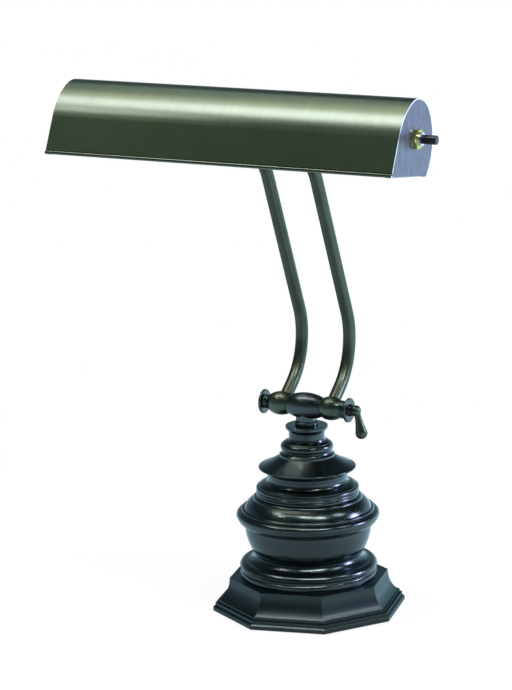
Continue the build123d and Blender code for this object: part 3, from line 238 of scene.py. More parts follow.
class GeometryGraph(NodeGraph):
    """A geometry node tree with named inputs, which ends in realized and dressed geometry."""

    def __init__(self, name: str, sizes: Sequence[str], objects: Sequence[str] = ()) -> None:
        """Starts the tree.

        Args:
            name: The tree's name.
            sizes: The names of its number inputs.
            objects: The names of its object inputs.
        """
        super().__init__(bpy.data.node_groups.new(name, "GeometryNodeTree"))
        inputs = [("Geometry", "NodeSocketGeometry")]
        inputs += [(size, "NodeSocketFloat") for size in sizes]
        inputs += [(item, "NodeSocketObject") for item in objects]
        inputs += [("Finish", "NodeSocketMaterial")]
        sockets = self.tree.interface
        for item, kind in inputs:
            sockets.new_socket(item, in_out="INPUT", socket_type=kind)
        sockets.new_socket("Geometry", in_out="OUTPUT", socket_type="NodeSocketGeometry")
        self.given = self.node("NodeGroupInput").outputs
        self.result = self.node("NodeGroupOutput").inputs

    def end(self, geometry: Socket) -> None:
        """Realizes and dresses the geometry, and hands it to the output.

        Args:
            geometry: What the tree has made.
        """
        real = self.node("GeometryNodeRealizeInstances", {0: geometry}).outputs[0]
        feeds = {"Geometry": real, "Material": self.given["Finish"]}
        self.feed(self.result[0], self.node("GeometryNodeSetMaterial", feeds).outputs[0])

    def grow(
        self,
        name: str,
        place: Matrix,
        finish: bpy.types.Material,
        values: dict[str, object],
        points: Sequence[Vector] = (),
    ) -> bpy.types.Object:
        """Runs the tree and keeps its result as a plain mesh.

        Args:
            name: The new piece's name.
            place: Where its mesh goes.
            finish: Its material.
            values: What the named inputs are given.
            points: Vertices for the tree to start from.

        Returns:
            The piece, at the origin, with its place in its mesh.
        """
        seed = bpy.data.meshes.new(name)
        seed.from_pydata([tuple(point) for point in points], [], [])
        piece = link_object(name, seed)
        modifier = piece.modifiers.new("grow", "NODES")
        modifier.node_group = self.tree
        items = [item for item in self.tree.interface.items_tree if item.in_out == "INPUT"]
        named = {item.name: item.identifier for item in items}
        for key, value in {**values, "Finish": finish}.items():
            modifier[named[key]] = value
        shape = plain_mesh(piece)
        piece.modifiers.remove(modifier)
        piece.data = shape
        shape.transform(place)
        shape.materials.clear()
        shape.materials.append(finish)
        return piece


# ------------------------------------------------------------------ shapes


class Side(Enum):
    """The lamp's two sides, with the way along X that each looks."""

    LEFT = -1.0
    RIGHT = 1.0

    def name_of(self, part: str) -> str:
        """The name that a part has on this side."""
        return f"{self.name.lower()}_{part}"

    def outwards(self) -> Vector:
        """The direction in which this side looks."""
        return Vector((self.value, 0.0, 0.0))


def link_object(name: str, data: bpy.types.ID) -> bpy.types.Object:
    """Puts a mesh, a lamp or a camera into the scene.

    Args:
        name: The object's name.
        data: What it shows.

    Returns:
        The object.
    """
    made = bpy.data.objects.new(name, data)
    bpy.context.scene.collection.objects.link(made)
    return made


def plain_mesh(piece: bpy.types.Object) -> bpy.types.Mesh:
    """A piece's mesh with its modifiers applied."""
    return bpy.data.meshes.new_from_object(
        piece.evaluated_get(bpy.context.evaluated_depsgraph_get())
    )


def mesh_of(work: bmesh.types.BMesh, name: str) -> bpy.types.Mesh:
    """Turns worked geometry into a mesh, and lets go of it.

    Args:
        work: The geometry.
        name: The mesh's name.

    Returns:
        The mesh.
    """
    mesh = bpy.data.meshes.new(name)
    work.to_mesh(mesh)
    work.free()
    return mesh


def middle_of(*corners: Vector) -> Vector:
    """The middle between a box's two corners."""
    return sum(corners, Vector()) / 2


def islands(node: str) -> list[tuple[Vector, Vector]]:
    """The boxes of a node's separate solids.

    Args:
        node: The node's name.

    Returns:
        The lowest and highest corner of each solid, in the order of the lowest ones.
    """
    work = bmesh.new()
    work.from_mesh(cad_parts[node].data)
    bmesh.ops.remove_doubles(work, verts=work.verts, dist=0.001 * MM)
    unseen = set(work.verts)
    found = []
    while unseen:
        queue = [unseen.pop()]
        points = []
        while queue:
            vertex = queue.pop()
            points.append(vertex.co.copy())
            for edge in vertex.link_edges:
                other = edge.other_vert(vertex)
                if other in unseen:
                    unseen.remove(other)
                    queue.append(other)
        low = Vector(min(p[i] for p in points) for i in range(3))
        high = Vector(max(p[i] for p in points) for i in range(3))
        found.append((low, high))
    work.free()
    return sorted(found, key=lambda box: tuple(round(part / (0.001 * MM)) for part in box[0]))


def lathe(name: str, profile: Sequence[tuple[float, float]], segments: int) -> bpy.types.Object:
    """Turns a profile round Z.

    Args:
        name: The piece's name.
        profile: Radius and height of each corner, from the lower pole to the upper one.
        segments: How many faces go round.

    Returns:
        The closed piece.
    """
    work = bmesh.new()
    turns = [2 * math.pi * step / segments for step in range(segments)]
    rings = []
    for radius, height in profile:
        angles = turns if radius else [0.0]
        corners = [(radius * math.cos(turn), radius * math.sin(turn), height) for turn in angles]
        rings.append([work.verts.new(corner) for corner in corners])
    for lower, upper in zip(rings, rings[1:], strict=False):
        for step in range(segments):
            after = (step + 1) % segments
            corners = [lower[step % len(lower)], lower[after % len(lower)]]
            corners += [upper[after % len(upper)], upper[step % len(upper)]]
            work.faces.new(list(dict.fromkeys(corners)))
    bmesh.ops.recalc_face_normals(work, faces=work.faces)
    return link_object(name, mesh_of(work, name))


def along(start: Vector, heading: Vector) -> Matrix:
    """The place that moves the origin to start and turns +Z to a heading."""
    return Matrix.Translation(start) @ heading.to_track_quat("Z", "Y").to_matrix().to_4x4()


# ------------------------------------------------------------------ finishes


class Grain(Enum):
    """The way that the fine lines of a finish run."""

    CAST = "no lines"
    TURNED_UPRIGHT = "rings round an upright axis"
    TURNED_ACROSS = "rings round an axis along X"
    ROUND_SECTION = "lines square to X"
    UPRIGHT = "lines along Z"


class Patina(Enum):
    """The colours that a metal may have: its body, its patches and where it is rubbed."""

    PLINTH_BRONZE = (0.026, 0.038, 0.037), (0.016, 0.025, 0.025), (0.1, 0.14, 0.13)
    BASE_BRONZE = (0.02, 0.032, 0.033), (0.012, 0.021, 0.022), (0.1, 0.14, 0.13)
    HUB_BRONZE = (0.04, 0.052, 0.056), (0.025, 0.036, 0.04), (0.2, 0.24, 0.22)
    CAP_BRONZE = (0.07, 0.095, 0.088), (0.045, 0.07, 0.07), (0.4, 0.48, 0.44)
    OLIVE_BRONZE = (0.075, 0.092, 0.06), (0.045, 0.062, 0.046), (0.3, 0.34, 0.25)
    ARM_BRONZE = (0.078, 0.09, 0.062), (0.05, 0.062, 0.045), (0.3, 0.34, 0.26)
    SWIVEL_BRONZE = (0.1, 0.12, 0.09), (0.06, 0.08, 0.065), (0.4, 0.44, 0.34)
    SHADE_BRONZE = (0.13, 0.152, 0.118), (0.112, 0.135, 0.1), (0.42, 0.48, 0.38)
    # The shade's bronze with a lamp's violet reflection painted into its colours; its near-white
    # rubbed colour paints a highlight on the end plates' rim.
    VIOLET_BRONZE = (0.158, 0.16, 0.212), (0.12, 0.126, 0.168), (0.85, 0.87, 1.0)
    BLACKENED = (0.04, 0.04, 0.042), (0.02, 0.02, 0.022), (0.2, 0.2, 0.2)
    BRASS = (0.55, 0.44, 0.2), (0.42, 0.33, 0.15), (0.8, 0.7, 0.42)
    GREEN_BRASS = (0.52, 0.5, 0.12), (0.3, 0.3, 0.06), (0.95, 0.92, 0.5)
    NICKEL = (0.66, 0.67, 0.7), (0.55, 0.56, 0.6), (0.85, 0.85, 0.86)
    ALUMINIUM = (0.72, 0.72, 0.73), (0.6, 0.6, 0.62), (0.85, 0.85, 0.85)
    ZINC = (0.5, 0.5, 0.52), (0.4, 0.41, 0.44), (0.7, 0.7, 0.7)
    STEEL = (0.48, 0.48, 0.5), (0.4, 0.4, 0.43), (0.7, 0.7, 0.7)
    IRON = (0.11, 0.105, 0.1), (0.06, 0.055, 0.05), (0.25, 0.24, 0.23)
    TUNGSTEN = (0.32, 0.31, 0.3), (0.25, 0.24, 0.23), (0.5, 0.5, 0.5)

    def __init__(self, body: Colour, patch: Colour, worn: Colour) -> None:
        """Names the three colours."""
        self.body, self.patch, self.worn = body, patch, worn


@dataclass(frozen=True)
class Finish:
    """What every finish has: a name, and a material that is wired once."""

    name: str

    def material(self) -> bpy.types.Material:
        """Wires the finish, or finds it if it is already wired.

        Returns:
            The material.
        """
        if self.name in bpy.data.materials:
            return bpy.data.materials[self.name]
        graph = MaterialGraph(self.name)
        self.wire(graph, graph.coordinates("Object"))
        return graph.material

    def wire(self, graph: MaterialGraph, point: Socket) -> None:
        """Wires the finish's own nodes.

        Args:
            graph: The material's tree.
            point: Where the shaded point lies in the lamp's own frame.
        """
        raise NotImplementedError


@dataclass(frozen=True)
class Lining:
    """Paint on the faces that look inwards to a middle point."""

    colour: Colour
    middle: Point
    roughness: float = 0.4

    def mask(self, graph: MaterialGraph, point: Socket) -> Socket:
        """1 where a face looks towards the middle, and 0 elsewhere.

        Args:
            graph: The material's tree.
            point: The shaded point.

        Returns:
            The mask.
        """
        outwards = graph.vectors("NORMALIZE", graph.vectors("SUBTRACT", point, self.middle))
        same = graph.vectors("DOT_PRODUCT", graph.coordinates("Normal"), outwards)
        return graph.spread(same, -0.02, -0.1)


@dataclass(frozen=True)
class HemShade:
    """Painted shade: a dark band along the top of a sheet's rolled front edge, laid over where the
    roll would catch a highlight.

    Attributes:
        front: The Y of the edge.
        top: The height at which the turned part ends.
        colour: The painted shade's colour.
        strength: How much of it shows.
        above: Where the painted shade has ended and where it is whole, over the top.
        below: The same, under the top.
        behind: The same, behind the edge.
    """

    front: float
    top: float
    colour: Colour = (0.02, 0.026, 0.014)
    strength: float = 0.9
    above: Range = (1.5 * MM, 0.5 * MM)
    below: Range = (1.6 * MM, 1.0 * MM)
    behind: Range = (8.0 * MM, 4.0 * MM)

    def mask(self, graph: MaterialGraph, point: Socket) -> Socket:
        """The painted shade's share of the colour.

        Args:
            graph: The material's tree.
            point: The shaded point.

        Returns:
            The mask.
        """
        place = graph.parts(point)
        under = graph.spread(place["Z"], *(self.top + reach for reach in self.above))
        over = graph.spread(place["Z"], *(self.top - reach for reach in self.below))
        near = graph.spread(place["Y"], *(self.front + reach for reach in self.behind))
        shade_band = graph.maths("MULTIPLY", graph.maths("MULTIPLY", under, over), near)
        return graph.maths("MULTIPLY", shade_band, self.strength)


@dataclass(frozen=True)
class Metal(Finish):
    """A metal with its patina, the lines of its working and its rubbed arrises.

    Attributes:
        patina: Its colours.
        roughness: How rough it is on average.
        grain: The way that its lines run.
        axis: A point on the axis that turned rings go round.
        lines: The scale of the noise that draws them, in waves to a metre.
        line_depth: How deep they are.
        line_tint: How much of the rubbed colour they show.
        patches: The scale of the noise that draws the patches, in waves to a metre.
        mottle: How much of their own colour the patches show.
        waves: How far the surface swells with the patches.
        arris: How far the rubbing reaches from an arris.
        rubbed: How much of the rubbed colour an arris shows.
        coat: How much clear lacquer lies on it.
        coat_roughness: How rough the lacquer is.
        stretch: How far its highlights stretch.
        edge: The tint of what it mirrors at a glancing angle.
        uneven: How far its roughness wanders, as a share of it.
        cut: The colour of its cut ends, which look along X, where it has them: bare metal drawn
            near-white, partly a painted highlight.
        hem_shade: The painted shade along the top of its front edge's roll, where it has one.
        lining: The paint on its inner faces, where it has some.
    """

    patina: Patina
    roughness: float = 0.35
    grain: Grain = Grain.CAST
    axis: Point = (0.0, 0.0, 0.0)
    lines: float = 900.0
    line_depth: float = 0.01 * MM
    line_tint: float = 0.25
    patches: float = 45.0
    mottle: float = 0.6
    waves: float = 0.002 * MM
    arris: float = 0.5 * MM
    rubbed: float = 0.5
    coat: float = 0.0
    coat_roughness: float = 0.08
    stretch: float = 0.0
    edge: Colour = WHITE
    uneven: float = 0.14
    # Near-white cut ends: bare metal, partly a painted highlight.
    cut: Colour | None = None
    # Painted shade over the top of the front edge's roll.
    hem_shade: HemShade | None = None
    lining: Lining | None = None

    def wire(self, graph: MaterialGraph, point: Socket) -> None:
        """Wires the metal's colour, roughness and bumps.

        Args:
            graph: The material's tree.
            point: The shaded point.
        """
        lines = graph.noise(self.grain_point(graph, point), self.lines, 4.0, 0.65)
        patches = graph.noise(point, self.patches, 5.0, 0.6)
        colour = self.coloured(graph, point, lines, patches)
        rough = self.roughened(graph, point, lines)
        normal = graph.bump(lines, 0.6, self.line_depth)
        normal = graph.bump(patches, 0.5, self.waves, normal)
        metallic = 1.0
        if self.lining is not None:
            inside = self.lining.mask(graph, point)
            metallic = graph.maths("SUBTRACT", 1.0, inside)
            colour = graph.blend(inside, colour, self.lining.colour)
            bare = graph.maths("MULTIPLY", rough, metallic)
            painted = graph.maths("MULTIPLY", inside, self.lining.roughness)
            rough = graph.maths("ADD", bare, painted)
        graph.set(Base_Color=colour, Metallic=metallic, Roughness=rough, Normal=normal)
        graph.set(Coat_Weight=self.coat, Coat_Roughness=self.coat_roughness)
        graph.set(Specular_Tint=(*self.edge, 1.0), Anisotropic=self.stretch)
        if self.stretch:
            graph.set(Tangent=graph.node("ShaderNodeCombineXYZ", {0: 1.0}).outputs[0])

    def grain_point(self, graph: MaterialGraph, point: Socket) -> Socket:
        """Coordinates that change fast across the lines and slowly along them.

        Args:
            graph: The material's tree.
            point: The shaded point.

        Returns:
            The coordinates for the noise that draws the lines.
        """
        slow = 0.02
        if self.grain is Grain.CAST:
            return point
        if self.grain is Grain.ROUND_SECTION:
            return graph.vectors("MULTIPLY", point, (1.0, slow, slow))
        if self.grain is Grain.UPRIGHT:
            return graph.vectors("MULTIPLY", point, (1.0, 1.0, slow))
        upright = self.grain is Grain.TURNED_UPRIGHT
        centred = graph.vectors("SUBTRACT", point, self.axis)
        arm = graph.vectors("MULTIPLY", centred, (1.0, 1.0, 0.0) if upright else (0.0, 1.0, 1.0))
        radius = graph.vectors("LENGTH", arm)
        height = graph.parts(centred)["Z" if upright else "X"]
        rings = graph.node("ShaderNodeCombineXYZ", {0: radius, 1: height}).outputs[0]
        drift = graph.vectors("MULTIPLY", centred, (slow, slow, slow))
        return graph.vectors("ADD", rings, drift)

    def coloured(
        self, graph: MaterialGraph, point: Socket, lines: Socket, patches: Socket
    ) -> Socket:
        """The patina, with what the lines, the rubbed arrises, the cut ends' painted highlight and
        the hem's painted shade add to it.

        Args:
            graph: The material's tree.
            point: The shaded point.
            lines: The field of the lines.
            patches: The field of the patches.

        Returns:
            The colour.
        """
        clouds = graph.maths("MULTIPLY", graph.spread(patches, 0.68, 0.3), self.mottle)
        colour = graph.blend(clouds, self.patina.body, self.patina.patch)
        lift = graph.maths("MULTIPLY", graph.spread(lines, 0.45, 0.75), self.line_tint)
        colour = graph.blend(lift, colour, self.patina.worn)
        scuffs = graph.spread(graph.noise(point, self.patches * 6, 3.0), 0.25, 0.6)
        rub = graph.maths("MULTIPLY", graph.edges(self.arris), scuffs)
        rub = graph.maths("MULTIPLY", rub, self.rubbed)
        colour = graph.blend(rub, colour, self.patina.worn)
        # Cut ends that look along X blend to a near-white: bare metal, partly a painted highlight
        # along the shell's ends.
        if self.cut is not None:
            across = graph.parts(graph.coordinates("Normal"))["X"]
            ends = graph.spread(graph.maths("ABSOLUTE", across), 0.8, 0.95)
            colour = graph.blend(ends, colour, self.cut)
        # Painted shade: a dark band over the top of the front edge's roll.
        if self.hem_shade is not None:
            colour = graph.blend(self.hem_shade.mask(graph, point), colour, self.hem_shade.colour)
        return colour

    def roughened(self, graph: MaterialGraph, point: Socket, lines: Socket) -> Socket:
        """The roughness, which wanders with the lines and with broad smears.

        Args:
            graph: The material's tree.
            point: The shaded point.
            lines: The field of the lines.

        Returns:
            The roughness.
        """
        wander = self.roughness * self.uneven
        rough = graph.spread(lines, 0.3, 0.7, self.roughness - wander, self.roughness + wander)
        smears = graph.noise(point, self.patches * 0.35, 2.0)
        smear = graph.spread(smears, 0.35, 0.7, -0.2 * self.uneven, 0.35 * self.uneven)
        return graph.maths("ADD", rough, smear)


@dataclass(frozen=True)
class Moulding(Finish):
    """Moulded plastic, rubber, fibre or paint: a mottled colour under a skin of fine bumps.

    Attributes:
        colour: Its colour.
        second: The colour that it flows into.
        roughness: How rough it is on average.
        gloss: How strongly it mirrors.
        pits: The scale of its bumps, in waves to a metre.
        depth: How deep they are.
        flow: The scale of its mottle, in waves to a metre.
        arris: How far the wear reaches from an arris.
        wear: How much of the worn colour an arris shows.
    """

    colour: Colour
    second: Colour
    roughness: float
    gloss: float = 0.5
    pits: float = 2500.0
    depth: float = 0.002 * MM
    flow: float = 60.0
    arris: float = 0.3 * MM
    wear: float = 0.4

    def wire(self, graph: MaterialGraph, point: Socket) -> None:
        """Wires the mottle, the worn arrises and the bumps.

        Args:
            graph: The material's tree.
            point: The shaded point.
        """
        skin = graph.noise(point, self.pits, 3.0)
        flow = graph.noise(point, self.flow, 4.0)
        colour = graph.blend(graph.spread(flow, 0.3, 0.7), self.colour, self.second)
        rub = graph.maths("MULTIPLY", graph.edges(self.arris), self.wear)
        pale = tuple(min(1.0, part * 2.2 + 0.02) for part in self.second)
        colour = graph.blend(rub, colour, pale)
        rough = graph.spread(flow, 0.3, 0.7, self.roughness * 0.85, self.roughness * 1.15)
        graph.set(Base_Color=colour, Roughness=rough, Normal=graph.bump(skin, 0.5, self.depth))
        graph.set(Specular_IOR_Level=self.gloss)


@dataclass(frozen=True)
class Felt(Finish):
    """Pressed wool: matted fibres with a soft sheen.

    Attributes:
        colour: Its colour.
        second: The colour of its paler fibres.
        fibres: The scale of the fibres, in waves to a metre.
        fibre_depth: How far they stand up.
        mats: The scale of the mats that they lie in.
        mat_depth: How far the mats swell.
    """

    colour: Colour
    second: Colour
    fibres: float = 1400.0
    fibre_depth: float = 0.25 * MM
    mats: float = 160.0
    mat_depth: float = 0.3 * MM

    def wire(self, graph: MaterialGraph, point: Socket) -> None:
        """Wires the fibres, their mats and the sheen.

        Args:
            graph: The material's tree.
            point: The shaded point.
        """
        fibres = graph.noise(point, self.fibres, 6.0, 0.75)
        mats = graph.noise(point, self.mats, 4.0)
        colour = graph.blend(graph.spread(mats, 0.3, 0.7), self.colour, self.second)
        colour = graph.blend(graph.spread(fibres, 0.4, 0.8, 0.0, 0.5), colour, self.second)
        normal = graph.bump(fibres, 0.9, self.fibre_depth)
        normal = graph.bump(mats, 0.5, self.mat_depth, normal)
        graph.set(Base_Color=colour, Roughness=0.95, Normal=normal)
        graph.set(Sheen_Weight=0.4, Sheen_Roughness=0.5)


@dataclass(frozen=True)
class Glass(Finish):
    """Thin blown glass with faint waves and a little dust.

    Attributes:
        colour: What it lets through.
        roughness: How rough it is where it is clean.
        dusty: How much rougher it is under dust.
        dust: The scale of the dust, in waves to a metre.
        waves: The scale of the waves.
        wave_depth: How far they swell.
    """

    colour: Colour = (0.96, 0.97, 0.96)
    roughness: float = 0.03
    dusty: float = 0.08
    dust: float = 900.0
    waves: float = 80.0
    wave_depth: float = 0.2 * MM

    def wire(self, graph: MaterialGraph, point: Socket) -> None:
        """Wires the waves and the dust.

        Args:
            graph: The material's tree.
            point: The shaded point.
        """
        waves = graph.noise(point, self.waves, 2.0)
        dust = graph.noise(point, self.dust, 3.0)
        rough = graph.spread(dust, 0.45, 0.8, self.roughness, self.roughness + self.dusty)
        graph.set(Base_Color=(*self.colour, 1.0), Roughness=rough, Transmission_Weight=1.0)
        graph.set(IOR=1.45, Normal=graph.bump(waves, 0.2, self.wave_depth))


def dress(finish: Finish, *nodes: str) -> None:
    """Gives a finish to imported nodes.

    Args:
        finish: The finish.
        nodes: The names of the nodes that take it.
    """
    material = finish.material()
    for node in nodes:
        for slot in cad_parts[node].material_slots:
            slot.material = material
        log.info("%s wears %s", node, finish.name)


def keep(piece: bpy.types.Object, body: str) -> None:
    """Parents a finished piece to the empty of the body that it rides on.

    Args:
        piece: The piece.
        body: The body that it rides on.
    """
    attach(piece, body)
    log.info("%s rides on %s with %d faces", piece.name, body, len(piece.data.polygons))


# ------------------------------------------------------------------ shared detail


class Helix:
    """A wire or thread ridge wound round a straight axis, grown by geometry nodes."""

    def __init__(self) -> None:
        """Builds the tree once for every thread and filament."""
        self.tree = GeometryGraph("helix", ("Radius", "Pitch", "Turns", "Wire"))
        given = self.tree.given
        climb = self.tree.maths("MULTIPLY", given["Pitch"], given["Turns"])
        feeds = {"Resolution": 28, "Rotations": given["Turns"], "Height": climb}
        feeds |= {"Start Radius": given["Radius"], "End Radius": given["Radius"]}
        spiral = self.tree.node("GeometryNodeCurveSpiral", feeds).outputs[0]
        feeds = {"Curve": spiral}
        upright = self.tree.node("GeometryNodeSetCurveNormal", feeds, mode="Z_UP").outputs[0]
        feeds = {"Resolution": 4, "Radius": given["Wire"]}
        section = self.tree.node("GeometryNodeCurvePrimitiveCircle", feeds).outputs[0]
        feeds = {"Curve": upright, "Profile Curve": section, "Fill Caps": True}
        self.tree.end(self.tree.node("GeometryNodeCurveToMesh", feeds).outputs[0])

    def wind(
        self,
        name: str,
        place: Matrix,
        finish: Finish,
        radius: float,
        pitch: float,
        length: float,
        wire: float,
    ) -> bpy.types.Object:
        """Winds one helix.

        Args:
            name: The piece's name.
            place: The place whose origin is the helix's start and whose +Z is its axis.
            finish: Its finish.
            radius: From the axis to the wire's middle.
            pitch: How far one turn climbs.
            length: How far all turns climb.
            wire: The wire's own radius.

        Returns:
            The piece.
        """
        values = {"Radius": radius, "Pitch": pitch, "Turns": length / pitch, "Wire": wire}
        return self.tree.grow(name, place, finish.material(), values)


class GripRibs:
    """Straight ribs that stand round a socket, grown by geometry nodes."""

    def __init__(self, count: int) -> None:
        """Builds the tree that lays one rib on each point of a ring.

        Args:
            count: How many ribs go round.
        """
        self.tree = GeometryGraph("grip_ribs", ("Round", "Rib", "Length"))
        given = self.tree.given
        feeds = {"Vertices": count, "Radius": given["Round"]}
        ring = self.tree.node("GeometryNodeMeshCircle", feeds).outputs["Mesh"]
        feeds = {"Vertices": 8, "Radius": given["Rib"], "Depth": given["Length"]}
        rib = self.tree.node("GeometryNodeMeshCylinder", feeds).outputs["Mesh"]
        feeds = {"Points": ring, "Instance": rib}
        self.tree.end(self.tree.node("GeometryNodeInstanceOnPoints", feeds).outputs[0])

    def stand(
        self, name: str, place: Matrix, finish: Finish, ring: float, rib: float, length: float
    ) -> bpy.types.Object:
        """Stands the ribs round one socket.

        Args:
            name: The piece's name.
            place: The place whose origin is the ribs' middle and whose +Z is their axis.
            finish: Their finish.
            ring: The radius at which they stand.
            rib: A rib's own radius.
            length: How long a rib is.

        Returns:
            The piece.
        """
        values = {"Round": ring, "Rib": rib, "Length": length}
        return self.tree.grow(name, place, finish.material(), values)


class ScrewHeads:
    """Slotted screws set on a list of points, grown by geometry nodes."""

    def __init__(self) -> None:
        """Builds the tree that sets one screw on each point, turned at random."""
        self.tree = GeometryGraph("screw_heads", (), ("Screw",))
        given = self.tree.given
        screw = self.tree.node("GeometryNodeObjectInfo", {"Object": given["Screw"]})
        feeds = {0: (0, 0, 0), 1: (0, 0, 2 * math.pi), "Seed": 7}
        turn = self.tree.node("FunctionNodeRandomValue", feeds, data_type="FLOAT_VECTOR")
        feeds = {"Points": given["Geometry"], "Instance": screw.outputs["Geometry"]}
        feeds["Rotation"] = turn.outputs[0]
        self.tree.end(self.tree.node("GeometryNodeInstanceOnPoints", feeds).outputs[0])

    def master(
        self, head_radius: float, head: float, shank_radius: float, length: float
    ) -> bpy.types.Object:
        """One slotted screw with its head's seat at the origin and its head along +Z.

        Args:
            head_radius: The head's radius.
            head: The head's height.
            shank_radius: The shank's radius.
            length: The shank's length.

        Returns:
            The screw.
        """
        slot_floor = head * 0.45
        profile = [
            (0.0, -length),
            (shank_radius * 0.7, -length),
            (shank_radius, -length + shank_radius * 0.4),
            (shank_radius, 0.0),
            (head_radius, 0.0),
            (head_radius, slot_floor),
            (head_radius * 0.86, head * 0.82),
            (head_radius * 0.5, head * 0.97),
            (0.0, head),
        ]
        screw = lathe("screw_master", profile, 28)
        half_width, half_length = head_radius * 0.13, head_radius * 1.2
        work = bmesh.new()
        for z in (slot_floor, head * 1.5):
            for x in (-half_length, half_length):
                for y in (-half_width, half_width):
                    work.verts.new((x, y, z))
        bmesh.ops.convex_hull(work, input=work.verts)
        cutter = link_object("screw_slot", mesh_of(work, "screw_slot"))
        modifier = screw.modifiers.new("slot", "BOOLEAN")
        modifier.operation = "DIFFERENCE"
        modifier.object = cutter
        cut = plain_mesh(screw)
        screw.modifiers.clear()
        screw.data = cut
        bpy.data.objects.remove(cutter)
        return screw

    def set(
        self,
        name: str,
        screw: bpy.types.Object,
        points: Sequence[Vector],
        place: Matrix,
        finish: Finish,
    ) -> bpy.types.Object:
        """Sets a screw on each point, and removes the master.

        Args:
            name: The piece's name.
            screw: The master.
            points: Where the screws' seats are, as the place sees them.
            place: The place whose +Z is the way that the heads look.
            finish: Their finish.

        Returns:
            The piece.
        """
        piece = self.tree.grow(name, place, finish.material(), {"Screw": screw}, points)
        bpy.data.objects.remove(screw)
        return piece


# ------------------------------------------------------------------ the lamp


@dataclass
class Base:
    """The plinth and the turned stack, with what they hold."""

    turning: float = 1400.0
    turning_depth: float = 0.0006 * MM
    ripple: float = 0.0005 * MM
    glancing: Colour = (0.4, 0.62, 0.68)
    thread_pitch: float = 1.5 * MM
    thread_start: float = 0.45 * MM
    thread_sink: float = 0.09 * MM
    thread_wire: float = 0.2475 * MM
    threaded_end: float = 18.0 * MM
    body: str = "base"

    def build(self, helix: Helix) -> None:
        """Dresses the base and winds the tie rod's thread.

        Args:
            helix: What winds the thread.
        """
        cast = Metal("plinth bronze", Patina.PLINTH_BRONZE, roughness=0.34, patches=30.0,
                     line_tint=0.05, line_depth=0.002 * MM, coat=0.6, coat_roughness=0.24,
                     edge=self.glancing)
        turned = Metal("turned bronze", Patina.BASE_BRONZE, roughness=0.27,
                       grain=Grain.TURNED_UPRIGHT, lines=self.turning,
                       line_depth=self.turning_depth, line_tint=0.04, waves=self.ripple,
                       uneven=0.06, coat=1.0, coat_roughness=0.18, edge=self.glancing)
        zinc = Metal("zinc plate", Patina.ZINC, roughness=0.38, patches=90.0,
                     line_depth=0.02 * MM)
        iron = Metal("grey iron", Patina.IRON, roughness=0.6, patches=220.0,
                     line_depth=0.15 * MM)
        felt = Felt("dark felt", (0.018, 0.03, 0.022), (0.04, 0.06, 0.045))
        rubber = Moulding("black rubber", (0.014, 0.014, 0.014), (0.03, 0.03, 0.03), 0.6)
        dress(cast, "plinth")
        dress(turned, "pedestal", "bowl", "bowl_cover", "shoulder_ring", "flange_dish",
              "neck_spool", "neck_collar")
        dress(zinc, "bottom_plate", "tie_rod", "tie_nut", "tie_washer", "bottom_screws")
        dress(iron, "ballast_weight")
        dress(felt, "felt_pad")
        dress(rubber, "cord_bushing")
        low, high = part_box("tie_rod")
        place = along(Vector((0.0, 0.0, low.z + self.thread_start)), Vector((0.0, 0.0, 1.0)))
        radius = (high.x - low.x) / 2 - self.thread_sink
        thread = helix.wind("tie_rod_thread", place, zinc, radius, self.thread_pitch,
                            self.threaded_end, self.thread_wire)
        keep(thread, self.body)


@dataclass
class Knuckle:
    """The lower knuckle: hub, barrels, caps and the bolt through them."""

    hub_turning: float = 1400.0
    hub_turning_depth: float = 0.0006 * MM
    turning: float = 1600.0
    turning_depth: float = 0.0008 * MM
    bolt_turning: float = 2000.0
    ripple: float = 0.0005 * MM

    def build(self) -> None:
        """Dresses the knuckle's pieces."""
        turned = {"grain": Grain.TURNED_ACROSS, "axis": tuple(middle_of(*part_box("knuckle_bolt")))}
        hub = Metal("hub bronze", Patina.HUB_BRONZE, roughness=0.28, **turned,
                    lines=self.hub_turning, line_depth=self.hub_turning_depth, line_tint=0.05,
                    waves=self.ripple, uneven=0.06, coat=1.0, coat_roughness=0.2,
                    edge=(0.5, 0.66, 0.7))
        barrel = Metal("barrel bronze", Patina.OLIVE_BRONZE, roughness=0.33, **turned,
                       lines=self.turning, line_depth=self.turning_depth, line_tint=0.08,
                       waves=self.ripple, coat=0.8, coat_roughness=0.2, edge=(0.6, 0.66, 0.6))
        cap = Metal("cap bronze", Patina.CAP_BRONZE, roughness=0.28, **turned,
                    lines=self.turning, line_depth=self.turning_depth, line_tint=0.06)
        fibre = Moulding("fibre washer", (0.016, 0.015, 0.014), (0.03, 0.027, 0.024), 0.6)
        steel = Metal("bolt steel", Patina.STEEL, roughness=0.32, **turned,
                      lines=self.bolt_turning)
        dress(hub, "knuckle_hub")
        dress(barrel, "left_barrel", "right_barrel")
        dress(cap, "left_cap", "right_cap")
        dress(fibre, "friction_washers")
        dress(steel, "knuckle_bolt")


@dataclass
class ClampLever:
    """The handle that clamps the knuckle, and its washer."""

    brushing: float = 1200.0
    brushing_depth: float = 0.001 * MM

    def build(self) -> None:
        """Dresses the lever and the washer."""
        handle = Metal("lever bronze", Patina.OLIVE_BRONZE, roughness=0.3, grain=Grain.UPRIGHT,
                       lines=self.brushing, line_depth=self.brushing_depth, line_tint=0.08)
        dark = Metal("blackened washer", Patina.BLACKENED, roughness=0.3)
        dress(handle, "clamp_lever")
        dress(dark, "cone_washer")


@dataclass
class Arms:
    """The two bent tubes."""

    brushing: float = 1500.0
    brushing_depth: float = 0.0004 * MM
    ripple: float = 0.0005 * MM

    def build(self) -> None:
        """Dresses the tubes."""
        tube = Metal("arm bronze", Patina.ARM_BRONZE, roughness=0.33, grain=Grain.UPRIGHT,
                     lines=self.brushing, line_depth=self.brushing_depth, line_tint=0.06,
                     patches=60.0, uneven=0.05, waves=self.ripple, edge=(0.6, 0.72, 0.74))
        dress(tube, "left_arm", "right_arm")


